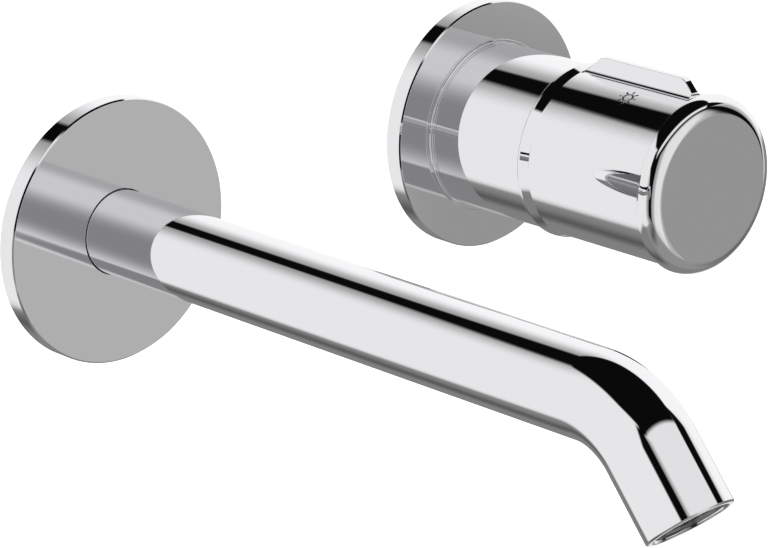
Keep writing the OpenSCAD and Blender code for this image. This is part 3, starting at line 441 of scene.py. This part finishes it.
# The studio that the chrome mirrors, each sheet over the one before: its tone, how soft its edges are,
# and the corners of its straight-edged outline as directions from the tap. A single direction is the
# middle of a half room.
ROOM_TONE = 0xE8E8E8
ROOM_LIGHT = 1.08
SHEETS = (
    # The white right wall, a little brighter than the left
    (0xF6F6F6, 0.5, [(1.0, 0.0, 0.15)]),
    # Light lost on both sides of the flag that hangs behind the wall
    (0x969696, 0.25, above((-0.46, 0.5), (-0.46, 9), (0.3, 9), (0.3, 0.5))),
    (0x9C9C9C, 0.28, above((-0.1, 0.5), (-0.1, 9), (0.62, 9), (0.62, 0.5))),
    # The walls fall off towards the front, where a strip light lies across the ceiling, dimmer at its
    # left end
    (0x868686, 0.18, ahead((-1.9, 1.1), (-1.9, -1.6), (-0.5, -1.0), (-0.5, 0.9))),
    (0x9C9C9C, 0.2, ahead((1.3, 0.9), (1.3, -0.4), (3.2, -0.7), (3.2, 1.6))),
    (0xE2E2E2, 0.03, above((-1.14, -0.6), (1.14, -0.6), (1.14, -1.01), (-1.14, -1.01))),
    (0x989898, 0.07, above((-1.35, -0.6), (-0.98, -0.6), (-0.98, -1.01), (-1.35, -1.01))),
    # The dark ceiling, the flag behind it, and the cloth that hangs from its front corners
    (0x0A0A0A, 0.035, above((-0.93, -0.67), (-0.93, -0.33), (-0.885, 0.0), (-0.35, 0.87), (-0.155, 0.98),
                            (0.245, 0.98), (0.37, 0.87), (0.62, 0.64), (0.765, 0.425), (0.93, 0.0),
                            (1.02, -0.33), (1.02, -0.67))),
    (0x0A0A0A, 0.03, above((-0.15, 0.8), (-0.15, 9), (0.245, 9), (0.245, 0.8))),
    (0x0A0A0A, 0.03, above((-0.8, -0.3), (-2.3, -0.85), (-1.85, -1.2), (-1.16, -1.2), (-1.05, -0.68))),
    (0x0A0A0A, 0.03, above((-0.8, -0.4), (-1.2, -0.5), (-1.2, -0.665), (-0.8, -0.665))),
    (0x0A0A0A, 0.03, above((0.85, -0.3), (2.2, -0.72), (1.75, -1.15), (1.15, -1.15), (1.0, -0.68))),
    (0x0C0C0C, 0.03, [(-2.2, -0.85, 1.0), (-1.0, -1.1, 1.0), (-1.12, -1.0, -0.1)]),
    # The grey table below, darker towards the wall, in the tap's own shade and at its left front corner
    (0x8E8E8E, 0.035, below((-1.06, -1.33), (-1.06, 0.36), (0.33, 1.75), (6, 1.85), (6, -1.33))),
    (0x7F7F7F, 0.1, below((-1.19, 0.23), (0.33, 1.75), (6, 1.85), (6, -0.2), (-1.0, -0.2))),
    (0x585858, 0.13, below((-0.2, 0.0), (-0.04, 3), (0.3, 3), (0.1, 0.0))),
    (0x585858, 0.15, below((-0.95, -1.3), (-0.4, -1.3), (-0.35, -0.4), (-0.7, -0.4))),
    # The black cloth round the front sheet
    (0x080808, 0.03, ahead((-1.2, -0.85), (-1.05, 0.98), (1.2, 0.98), (1.55, 0.75), (1.95, -0.5))),
    # The front sheet: its dimmer rim, its bright middle, and its lower right end
    (0xA6A6A6, 0.06, ahead((-0.6, 0.65), (0.95, 0.65), (1.1, -0.1), (1.1, -0.75), (-0.6, -0.75))),
    (0xE2E2E2, 0.13, ahead((-0.25, 0.65), (0.8, 0.65), (0.9, -0.1), (0.9, -0.75), (-0.25, -0.75))),
    (0xB0B0B0, 0.04, ahead((0.6, -0.27), (1.1, -0.27), (1.1, -0.8), (0.6, -0.8))),
    (0x949494, 0.02, ahead((0.93, -0.34), (2.3, -0.88), (2.3, -1.2), (0.93, -1.2))),
    # The table's right side in shade, and a white card on it under the spout's outlet
    (0x3A3A3A, 0.25, below((1.2, -0.8), (1.2, -0.1), (2.5, -0.1), (2.5, -0.9))),
    (0xE6E6E6, 0.06, below((0.95, 0.5), (1.6, 0.5), (1.6, 1.0), (0.95, 1.0))),
    # The dark recess behind the tap, which only edges that face the wall can see
    (0x0C0C0C, 0.05, [(-0.6, 1.0, -0.5), (0.6, 1.0, -0.5), (0.6, 1.0, 0.5), (-0.6, 1.0, 0.5)]),
)
# What two mirrors show in turn, as a rosette the tube on it: the front of the room, paler and softer
TWICE_TONE = 0xD2D2D2
TWICE_SHEETS = (
    (0x888888, 0.2, [(-1.0, 0.58, 0.0)]),
    (0xAAAAAA, 0.18, [(1.0, 0.6, 0.05)]),
    (0x868686, 0.03, ahead((-0.9, -1.6), (-0.3, -0.84), (0.75, -0.84), (1.2, -1.6))),
)


def edge_planes(corners):
    """The inward normals of the planes through the middle of the room and each side of an outline: the cross
    product of neighbouring corners, turned to the side where the outline's middle is."""
    corners = np.asarray(corners, float)
    middle = (corners / np.linalg.norm(corners, axis=1, keepdims=True)).mean(0)
    planes = corners if len(corners) == 1 else np.cross(corners, np.roll(corners, -1, 0))
    planes = planes / np.linalg.norm(planes, axis=1, keepdims=True)
    return planes * np.where(planes @ middle < 0, -1, 1)[:, None]


def painted(tree, ray, tone, sheets):
    """The room's colour in a ray's direction, from a tone and the sheets over it. A sheet covers a
    direction that lies inside all of its edges, which a smooth step on the distance from each edge's
    plane decides."""
    tone = (*linear(tone), 1)
    for value, soft, corners in sheets:
        cover = 1.0
        for plane in edge_planes(corners):
            side = add_node(tree, "ShaderNodeVectorMath", {0: ray, 1: plane.tolist()},
                            operation="DOT_PRODUCT")
            step = add_node(tree, "ShaderNodeMapRange", {
                "Value": side.outputs["Value"], "From Min": -soft, "From Max": soft},
                            interpolation_type="SMOOTHSTEP")
            cover = add_node(tree, "ShaderNodeMath", {0: cover, 1: step.outputs["Result"]},
                             operation="MULTIPLY").outputs[0]
        tone = add_node(tree, "ShaderNodeMix", {0: cover, 6: tone, 7: (*linear(value), 1)},
                        data_type="RGBA").outputs[2]
    return tone


def studio_world():
    """A light room at a great distance. Only the tap sees it: the picture's ground is white."""
    world = bpy.data.worlds.new("studio")
    bpy.context.scene.world = world
    world.use_nodes = True
    tree = world.node_tree
    tree.nodes.clear()
    ray = add_node(tree, "ShaderNodeTexCoord").outputs["Generated"]
    path = add_node(tree, "ShaderNodeLightPath")
    # The paler front is a round patch about straight ahead, for light that has met two mirrors
    forward = add_node(tree, "ShaderNodeVectorMath", {0: ray, 1: (0, -1, 0)}, operation="DOT_PRODUCT")
    cone = add_node(tree, "ShaderNodeMapRange", {
        "Value": forward.outputs["Value"], "From Min": 0.63, "From Max": 0.67})
    twice = add_node(tree, "ShaderNodeMath", {0: path.outputs["Glossy Depth"], 1: 1.5},
                     operation="GREATER_THAN")
    paler = add_node(tree, "ShaderNodeMath", {0: cone.outputs["Result"], 1: twice.outputs[0]},
                     operation="MULTIPLY")
    tone = add_node(tree, "ShaderNodeMix", {
        0: paler.outputs[0], 6: painted(tree, ray, ROOM_TONE, SHEETS),
        7: painted(tree, ray, TWICE_TONE, TWICE_SHEETS)}, data_type="RGBA")
    room = add_node(tree, "ShaderNodeBackground", {"Color": tone.outputs[2], "Strength": ROOM_LIGHT})
    ground = add_node(tree, "ShaderNodeBackground", {"Color": (1, 1, 1, 1), "Strength": 1.0})
    both = add_node(tree, "ShaderNodeMixShader", {0: path.outputs["Is Camera Ray"], 1: room.outputs[0],
                                                  2: ground.outputs[0]})
    add_node(tree, "ShaderNodeOutputWorld", {"Surface": both.outputs[0]})


def studio_floor():
    """A large plane of lit opal acrylic under the tap. The chrome mirrors the room's table instead."""
    side, depth = 4.0, -0.34
    mesh = bpy.data.meshes.new("floor")
    mesh.from_pydata([(-side, -side, depth), (side, -side, depth), (side, side, depth), (-side, side, depth)],
                     [], [(0, 1, 2, 3)])
    made, tree, shader = new_material("opal_acrylic_floor")
    white = (*bpy.context.scene.tap_colours.floor, 1)
    feed(tree, shader, {"Base Color": white, "Emission Color": white, "Emission Strength": 1.0})
    mesh.materials.append(made)
    floor = bpy.data.objects.new("floor", mesh)
    bpy.context.scene.collection.objects.link(floor)
    floor.visible_glossy = False


class TapOperator:
    bl_options = {"REGISTER", "UNDO"}

    @property
    def mm(self):
        """Every length of the size panel in millimetres, by name."""
        sizes = bpy.context.scene.tap_sizes
        return type("Millimetres", (), {name: getattr(sizes, name) / MM for name in TapSizes.__annotations__
                                        if name != "bend_angle"})


class TAP_OT_rosettes(bpy.types.Operator, TapOperator):
    """Makes the two wall rosettes."""
    bl_idname = "tap.rosettes"
    bl_label = "Rosettes"

    def execute(self, context):
        mm = self.mm
        for name, x, pipe in (("spout_rosette", 0.0, mm.tube_r),
                              ("control_rosette", mm.control_x, mm.sleeve_r)):
            wall, bevel, ring_rim, ring_deep = 1.6, 0.4, 1.7, 1.4
            hole, pocket, cavity = pipe + 0.2, pipe + 1.3, mm.rosette_h - wall
            rim = mm.rosette_r - wall
            profile, normals = rounded([
                (mm.rosette_r, 0.0, 0.1), (mm.rosette_r, mm.rosette_h - bevel, 0.12),
                (mm.rosette_r - bevel, mm.rosette_h, 0.12), (hole, mm.rosette_h, 0.1), (hole, cavity, 0.0),
                (pocket, cavity, 0.0), (pocket, cavity - ring_deep, 0.1),
                (pocket + ring_rim, cavity - ring_deep, 0.1), (pocket + ring_rim, cavity, 0.3),
                (rim, cavity, 0.3), (rim, 0.0, 0.1)])
            points, shading = turned(profile * MM, normals, straight_line(x * MM), whole_turn(192))
            plated(name, "wall_set", points, shading)
        return {"FINISHED"}


class TAP_OT_spout(bpy.types.Operator, TapOperator):
    """Sweeps the spout tube along its straight run, bend and leg."""
    bl_idname = "tap.spout"
    bl_label = "Spout tube"

    def execute(self, context):
        mm = self.mm
        angle = context.scene.tap_sizes.bend_angle
        bend_end = mm.tube_run + mm.bend_r * angle
        end = bend_end + mm.leg
        bend_rows = np.linspace(mm.tube_run, bend_end, 49)
        bore, start, bevel = mm.tube_r - mm.tube_wall, 1.4, 0.4
        profile, normals = rounded([
            (mm.tube_r, start, 0.1), (mm.tube_r, end - bevel, 0.15), (mm.tube_r - bevel, end, 0.15),
            (bore, end, 0.2), (bore, start, 0.1)], {0: bend_rows, 3: bend_rows[::-1]})
        line = spout_line(mm.tube_run * MM, mm.bend_r * MM, angle)
        points, shading = turned(profile * MM, normals, line, whole_turn(160))
        plated("spout_tube", "wall_set", points, shading)
        return {"FINISHED"}


class TAP_OT_sleeve(bpy.types.Operator, TapOperator):
    """Turns the fixed sleeve with its foot ring."""
    bl_idname = "tap.sleeve"
    bl_label = "Sleeve"

    def execute(self, context):
        mm = self.mm
        foot, ring, start = mm.rosette_h + 0.02, 0.9, 2.1
        bore, chamber, lip = mm.sleeve_r - 1.4, 17.8, mm.sleeve_end - 2.4
        profile, normals = rounded([
            (mm.sleeve_r, start, 0.1), (mm.sleeve_r, foot, 0.0), (mm.sleeve_r + ring, foot, 0.08),
            (mm.sleeve_r + ring, foot + ring, 0.3), (mm.sleeve_r, foot + ring, 0.12),
            (mm.sleeve_r, mm.sleeve_end, 0.25), (chamber, mm.sleeve_end, 0.1), (chamber, lip, 0.0),
            (bore, lip, 0.0), (bore, start, 0.1)])
        points, shading = turned(profile * MM, normals, straight_line(mm.control_x * MM), whole_turn(192))
        plated("control_sleeve", "wall_set", points, shading)
        return {"FINISHED"}


HALF_LINE = 0.18


def sun_distance(x, y):
    """Distance from the outline of a sun: a ring of middle radius 1.36 and eight rays from 1.925 to 2.75,
    each line 0.36 wide. Negative inside a line. Millimetres."""
    ring_r, ray_middle, ray_half = 1.36, 2.3375, 0.4125
    out = np.hypot(x, y)
    ring = np.abs(out - ring_r) - HALF_LINE
    turn = (np.arctan2(y, x) + TURN / 16) % (TURN / 8) - TURN / 16
    ray_x = np.abs(out * np.cos(turn) - ray_middle) - ray_half
    ray_y = np.abs(out * np.sin(turn)) - HALF_LINE
    return np.minimum(ring, np.maximum(ray_x, ray_y))


def snowflake_distance(x, y):
    """Distance from the outline of a snowflake: six arms to 2.75 and a pair of branches from 1.54 on each,
    turned 50 degrees and 0.935 long. Millimetres."""
    arm_half, branch_start, branch_half, branch_turn = 1.375, 1.54, 0.4675, math.radians(50)
    out = np.hypot(x, y)
    turn = np.abs((np.arctan2(y, x) + TURN / 12) % (TURN / 6) - TURN / 12)
    px, py = out * np.cos(turn), out * np.sin(turn)
    arm = np.maximum(np.abs(px - arm_half) - arm_half, np.abs(py) - HALF_LINE)
    c, s = math.cos(branch_turn), math.sin(branch_turn)
    bx, by = (px - branch_start) * c + py * s, -(px - branch_start) * s + py * c
    branch = np.maximum(np.abs(bx - branch_half) - branch_half, np.abs(by) - HALF_LINE)
    return np.minimum(arm, branch)


def pit_steps(hole, reach):
    """Distances from a pit's middle at which the surface is divided: two for its floor, two for its wall,
    then out to where the grid is square again."""
    return np.array([0.5 * hole, hole - 0.12, hole, hole + 0.12, hole + 0.25, 0.5 * (hole + reach), reach])


def pit(radius, along, angle, middle_along, middle_angle, side_r, hole, reach, floor_r):
    """Sinks a round pit in a turned surface, in millimetres. Squares of the grid round its middle are
    drawn to circles, wholly up to just outside the hole and less and less out to reach; inside the hole
    the radius is the floor's."""
    u = along - middle_along
    v = ((angle - middle_angle + math.pi) % TURN - math.pi) * side_r
    size = np.maximum(np.abs(u), np.abs(v))
    out = np.maximum(np.hypot(u, v), 1e-9)
    near = (size < reach - 1e-6) & (np.abs(radius - side_r) < 0.05)
    share = np.clip((reach - size) / (reach - hole - 0.25), 0, 1)
    share = share * share * (3 - 2 * share)
    wanted = np.where(size < hole - 0.01, size * hole / (hole - 0.12), size)
    factor = 1 + share * (wanted / out - 1)
    u2, v2 = u * factor, v * factor
    inside = near & (size < hole - 0.01)
    along = np.where(near, middle_along + u2, along)
    angle = np.where(near, middle_angle + v2 / side_r, angle)
    edge = near & (np.abs(size - hole) < 0.01)
    radius = np.where(inside, floor_r, np.where(edge, side_r - 0.06, radius))
    moved = near & (size < hole + 0.2)
    return radius, along, angle, moved


class TAP_OT_knob(bpy.types.Operator, TapOperator):
    """Turns the knob, with its flared lip, the engraved sun and snowflake, and the screw's access hole."""
    bl_idname = "tap.knob"
    bl_label = "Knob"

    def execute(self, context):
        mm = self.mm
        lip, rear, front = mm.knob_r + 0.8, mm.knob_rear, mm.knob_front
        cap_bore, bore, hub, web = mm.knob_r - 1.59, mm.knob_r - 1.8, rear + 6.2, rear + 21.3
        neck_r, stem_bore, socket_r, hub_r = 6.2, 4.06, 9.03, 13.4
        mark_w, screw_w = front - 18.7, hub + 7.0
        screw_hole, screw_reach, screw_floor, mark_deep = 2.3, 3.6, 11.0, 0.25
        mark_rows = np.arange(mark_w - 3.0, mark_w + 3.001, 0.06)
        steps = pit_steps(screw_hole, screw_reach)
        screw_rows = screw_w + np.concatenate([-steps[::-1], [0], steps])
        profile, normals = rounded([
            (lip, rear, 0.45), (lip, rear + 1.0, 0.15), (mm.knob_r, rear + 3.6, 1.2),
            (mm.knob_r, front, 1.2), (cap_bore, front, 0.15), (cap_bore, web + 11.0, 0.1),
            (bore, web + 11.0, 0.1), (bore, web + 3.5, 0.3), (neck_r, web + 3.5, 0.3),
            (neck_r, web + 10.0, 0.2), (stem_bore, web + 10.0, 0.1), (stem_bore, web, 0.0),
            (socket_r, web, 0.0), (socket_r, hub, 0.2), (hub_r, hub, 0.2), (hub_r, web, 0.3),
            (bore, web, 0.3), (bore, rear, 0.1)], {2: np.concatenate([screw_rows, mark_rows])})
        marks = (math.radians(111.1), math.radians(68.9))
        fine = np.arange(-7.65, 7.651, 0.15)
        screw_columns = np.degrees(np.concatenate([-steps[::-1], [0], steps]) / mm.knob_r)
        coarse = np.arange(0, 360, 3.0)
        windows = [np.degrees(m) + fine for m in marks] + [270 + screw_columns]
        keep = np.all([(coarse < w[0] - 0.5) | (coarse > w[-1] + 0.5) for w in windows], 0)
        around = np.radians(np.sort(np.concatenate([coarse[keep], *windows])))

        def sunk(radius, along, angle):
            radius, along = radius / MM, along / MM
            side = np.abs(radius - mm.knob_r) < 0.002
            radius, along, angle, moved = pit(radius, along, angle, screw_w, 1.5 * math.pi, mm.knob_r,
                                              screw_hole, screw_reach, screw_floor)
            for middle, distance in zip(marks, (sun_distance, snowflake_distance)):
                x = mm.knob_r * np.sin(middle - angle)
                apart = distance(x, mark_w - along) - 0.02
                share = np.clip(0.5 - apart / 0.1, 0, 1)
                near = side & (np.cos(middle - angle) > 0.9) & (np.abs(along - mark_w) < 3.2)
                share = np.where(near, share, 0)
                radius = radius - mark_deep * share * share * (3 - 2 * share)
                moved = moved | (share > 0)
            grown = moved.copy()
            for axis in (0, 1):
                grown |= np.roll(moved, 1, axis) | np.roll(moved, -1, axis)
            return radius * MM, along * MM, angle, grown

        points, shading = turned(profile * MM, normals, straight_line(mm.control_x * MM), around, sunk)
        plated("knob_body", "knob", points, shading)
        return {"FINISHED"}


class TAP_OT_grip_fin(bpy.types.Operator, TapOperator):
    """Makes the thin grip fin on top of the knob, with a hollow fillet along each side. Its front foot
    stops short of where the button's skirt comes to."""
    bl_idname = "tap.grip_fin"
    bl_label = "Grip fin"

    def execute(self, context):
        mm = self.mm
        half, fillet, height, foot_length = 1.175, 2.0, 4.7, 39.0
        rear_run, front_run, buried = 5.4, 4.3, 0.7
        front = mm.knob_front - 1.6
        rear = front - foot_length
        stop = mm.knob_front - mm.cap_lap - mm.travel - 0.13
        top = mm.knob_r + height
        fx = half + fillet
        fy = math.sqrt((mm.knob_r + fillet) ** 2 - fx ** 2)
        # The side view: up the rear slope, along the top and down the front slope, each corner a
        # quadratic curve
        t = np.linspace(0, 1, 13)[:, None]

        def corner(a, b, c):
            return (1 - t) ** 2 * a + 2 * t * (1 - t) * b + t * t * c

        rear_top, front_top = np.array([rear + rear_run, top]), np.array([front - front_run, top])
        rear_down = np.array([rear_run, height]) / height
        front_down = np.array([-front_run, height]) / height
        step = np.array([stop, mm.knob_r + (front - stop) / front_run * height])
        soft, small = 1.0, 0.2
        rear_foot = [rear - buried * rear_run / height, mm.knob_r - buried]
        below_step = step - [-0.005, small]
        side = np.vstack([
            np.linspace(rear_foot, rear_top - soft * rear_down, 14)[:-1],
            corner(rear_top - soft * rear_down, rear_top, rear_top + [soft, 0]),
            corner(front_top - [soft, 0], front_top, front_top - soft * front_down),
            np.linspace(front_top - soft * front_down, step + small * front_down, 12)[1:-1],
            corner(step + small * front_down, step, below_step),
            np.linspace(below_step, [stop + 0.05, mm.knob_r - buried], 5)[1:]])
        slope = np.gradient(side, axis=0)
        slope /= np.linalg.norm(slope, axis=1, keepdims=True)
        top_normal = np.stack([-slope[:, 1], slope[:, 0]], 1)
        # Across: from the foot up the hollow fillet and the upright side to the top's edge
        foot = math.atan2(fy, fx) + math.pi
        edge = 0.22
        bend = np.linspace(foot, math.pi, 15)
        arc_x, arc_y = fx + fillet * np.cos(bend), fy + fillet * np.sin(bend)
        path_x = np.concatenate([[fx * 0.96], arc_x, [half]])
        path_y = np.concatenate([[arc_y[0] - 0.9], arc_y, [top + 1]])
        nx = np.concatenate([[-np.cos(foot)], -np.cos(bend), [1.0]])
        ny = np.concatenate([[-np.sin(foot)], -np.sin(bend), [0.0]])
        share = np.linspace(0, 1, 22)
        limit = side[:, 1] - edge
        low = path_y[0]
        y = low + (np.maximum(limit, low + 0.05)[:, None] - low) * share
        x = np.interp(y, path_y, path_x)
        normal = np.stack([np.interp(y, path_y, nx), np.interp(y, path_y, ny), 0 * y], -1)
        # The top's edge: a small round between the side and the top
        last_x, last_y, last_n = x[:, -1:], y[:, -1:], normal[:, -1:]
        flat_n = np.stack([0 * last_x, top_normal[:, 1:2], top_normal[:, 0:1]], -1)
        u = np.linspace(0, 1, 6)[None, 1:]
        top_x, top_y = last_x - edge, last_y + edge
        edge_x = (1 - u) ** 2 * last_x + 2 * u * (1 - u) * last_x + u * u * top_x
        edge_y = (1 - u) ** 2 * last_y + 2 * u * (1 - u) * top_y + u * u * top_y
        edge_n = (1 - u)[..., None] * last_n + u[..., None] * flat_n
        x, y, normal = (np.concatenate(v, 1) for v in ((x, edge_x), (y, edge_y), (normal, edge_n)))
        mirror = normal[:, ::-1] * [-1, 1, 1]
        x, y = np.concatenate([x, -x[:, ::-1]], 1), np.concatenate([y, y[:, ::-1]], 1)
        normal = np.concatenate([normal, mirror], 1)
        normal /= np.linalg.norm(normal, axis=-1, keepdims=True)
        w = np.repeat(side[:, :1], x.shape[1], 1)
        points = np.stack([mm.control_x + x, -w, y], -1) * MM
        shading = np.stack([normal[..., 0], -normal[..., 2], normal[..., 1]], -1)
        rows, columns = x.shape
        faces = closed_faces(rows, columns).reshape(rows, columns, 4)[:-1].reshape(-1, 4)
        # Both ends are closed under the knob's surface by folding the last loop onto its own middle line
        ends = []
        for row in (0, rows - 1):
            j = np.arange(columns // 2)
            a, b = row * columns + j, row * columns + columns - 1 - j
            a2, b2 = np.roll(a, -1), np.roll(b, -1)
            quad = np.stack([a, a2, b2, b], -1)[:-1]
            ends.append(quad[:, ::-1] if row == 0 else quad)
        faces = np.vstack([faces, *ends])
        plated("grip_fin", "knob", points, shading, faces)
        return {"FINISHED"}


class TAP_OT_button(bpy.types.Operator, TapOperator):
    """Turns the push button's cap: a collar in the knob's bore, a skirt over its front, a soft edge."""
    bl_idname = "tap.button"
    bl_label = "Push button"

    def execute(self, context):
        mm = self.mm
        rear, inner = mm.cap_front - 10.8, mm.cap_front - 1.8
        collar, skirt = mm.knob_r - 1.93, mm.knob_r + 0.15
        skirt_rear, pocket = mm.knob_front - mm.cap_lap, mm.knob_front + mm.travel + 0.06
        profile, normals = rounded([
            (collar, rear, 0.2), (collar, pocket, 0.15), (skirt, pocket, 1.3), (skirt, skirt_rear, 0.08),
            (mm.cap_r, skirt_rear, 0.08), (mm.cap_r, mm.cap_front, mm.cap_round), (0.0, mm.cap_front, 0.0),
            (0.0, inner, 0.0), (collar - 2.3, inner, 0.3), (collar - 2.3, rear, 0.2)])
        flat = profile[0] < 1e-6
        normals[0][flat] = 0
        normals[1][flat] = np.where(profile[1][flat] > inner + 0.1, 1, -1)
        points, shading = turned(profile * MM, normals, straight_line(mm.control_x * MM), whole_turn(192))
        plated("push_cap", "button", points, shading)
        return {"FINISHED"}


class TAP_OT_spring(bpy.types.Operator, TapOperator):
    """Winds the return spring as a fixed coil; the real one shortens against the knob's web when the button
    is pushed.
    """
    bl_idname = "tap.spring"
    bl_label = "Return spring"

    def execute(self, context):
        mm = self.mm
        # It stands just clear of the knob's web behind it and of the button's plate in front
        web_front, plate_back, clear = mm.knob_rear + 24.8, mm.cap_front - 5.4, 0.1
        rear, front = web_front + clear, plate_back - clear
        coil_r, wire_r, turns, sides, steps = 8.0, 0.5, 6, 14, 48
        climb = front - rear - 2 * wire_r
        slope = climb / (turns * TURN * coil_r)
        a = np.linspace(0, turns * TURN, turns * steps + 1)
        # The wire's middle goes round and forward; its ring lies across the way ahead
        out = np.stack([np.cos(a), 0 * a, np.sin(a)], -1)
        middle = coil_r * out + np.array([mm.control_x, -rear - wire_r, 0.0])
        middle[:, 1] -= climb * a / a[-1]
        ahead_way = np.stack([-np.sin(a), 0 * a - slope, np.cos(a)], -1) / math.hypot(1, slope)
        across = np.cross(ahead_way, out)
        u = whole_turn(sides)[None, :, None]
        ring = np.cos(u) * out[:, None] + np.sin(u) * across[:, None]
        tips = [np.repeat(middle[k][None, None], sides, 1) for k in (0, -1)]
        caps = [np.repeat(v[None, None], sides, 1) for v in (-ahead_way[0], ahead_way[-1])]
        points = np.concatenate([tips[0], middle[:, None] + wire_r * ring, tips[1]])
        shading = np.concatenate([caps[0], ring, caps[1]])
        rows = len(points)
        faces = closed_faces(rows, sides).reshape(rows, sides, 4)[:-1].reshape(-1, 4)
        made = piece("return_spring_wound", points * MM, shading, faces, finish(stainless_steel),
                     "button", "steel", "return_spring")
        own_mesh(made)
        return {"FINISHED"}


class TAP_OT_fittings(bpy.types.Operator, TapOperator):
    """Gives every piece that the frame carries its own finish, by the record's material slot."""
    bl_idname = "tap.fittings"
    bl_label = "Fittings"

    def execute(self, context):
        finishes = {"chrome": chrome_plate, "brass": machined_brass, "steel": stainless_steel,
                    "black_rubber": nitrile_rubber, "grey_foam": closed_cell_foam,
                    "dark_plastic": moulded_acetal, "white_plastic": moulded_nylon,
                    "red_plastic": red_acetal, "ceramic": lapped_alumina, "black_enamel": stoved_enamel}
        for part in frame["record"]["subparts"]:
            node = frame["nodes"][part["node"]]
            chosen = finish(finishes[part["material_slot"]])
            if node.material_slots:
                for one in node.material_slots:
                    one.material = chosen
            else:
                node.data.materials.append(chosen)
        return {"FINISHED"}


class TAP_OT_stage(bpy.types.Operator, TapOperator):
    """Sets the floor, the light and the camera."""
    bl_idname = "tap.stage"
    bl_label = "Stage"

    def execute(self, context):
        scene = context.scene
        studio_world()
        studio_floor()
        scene.view_settings.view_transform = "Standard"
        camera = bpy.data.cameras.new("camera")
        camera.sensor_width = 36.0
        camera.lens = 185.58
        camera.clip_end = 100.0
        made = bpy.data.objects.new("camera", camera)
        scene.collection.objects.link(made)
        made.location = Vector((-599.61, -742.89, 311.52)) * MM
        # The point of the tap that the picture's middle shows, and how far the camera leans
        target = Vector((47.09, -51.99, -11.48)) * MM
        roll = math.radians(-0.733)
        level = (target - made.location).to_track_quat("-Z", "Y")
        made.rotation_mode = "QUATERNION"
        made.rotation_quaternion = level @ Quaternion((0, 0, 1), roll)
        scene.camera = made
        return {"FINISHED"}


class TAP_PT_panel(bpy.types.Panel):
    """Lists the tap's pieces in the sidebar."""
    bl_idname = "TAP_PT_panel"
    bl_label = "Basin Tap"
    bl_space_type = "VIEW_3D"
    bl_region_type = "UI"
    bl_category = "Basin Tap"

    def draw(self, context):
        for operator in OPERATORS:
            self.layout.operator(operator.bl_idname)
        for group in (context.scene.tap_sizes, context.scene.tap_colours):
            for name in group.__annotations__:
                self.layout.prop(group, name)


OPERATORS = (TAP_OT_rosettes, TAP_OT_spout, TAP_OT_sleeve, TAP_OT_knob, TAP_OT_grip_fin, TAP_OT_button,
             TAP_OT_spring, TAP_OT_fittings, TAP_OT_stage)
CLASSES = (TapSizes, TapColours, *OPERATORS, TAP_PT_panel)


def register():
    for one in CLASSES:
        bpy.utils.register_class(one)
    bpy.types.Scene.tap_sizes = bpy.props.PointerProperty(type=TapSizes)
    bpy.types.Scene.tap_colours = bpy.props.PointerProperty(type=TapColours)


def unregister():
    del bpy.types.Scene.tap_sizes
    del bpy.types.Scene.tap_colours
    for one in reversed(CLASSES):
        bpy.utils.unregister_class(one)


def main():
    register()
    for operator in OPERATORS:
        group, name = operator.bl_idname.split(".")
        getattr(getattr(bpy.ops, group), name)()


if __name__ == "__main__":
    main()
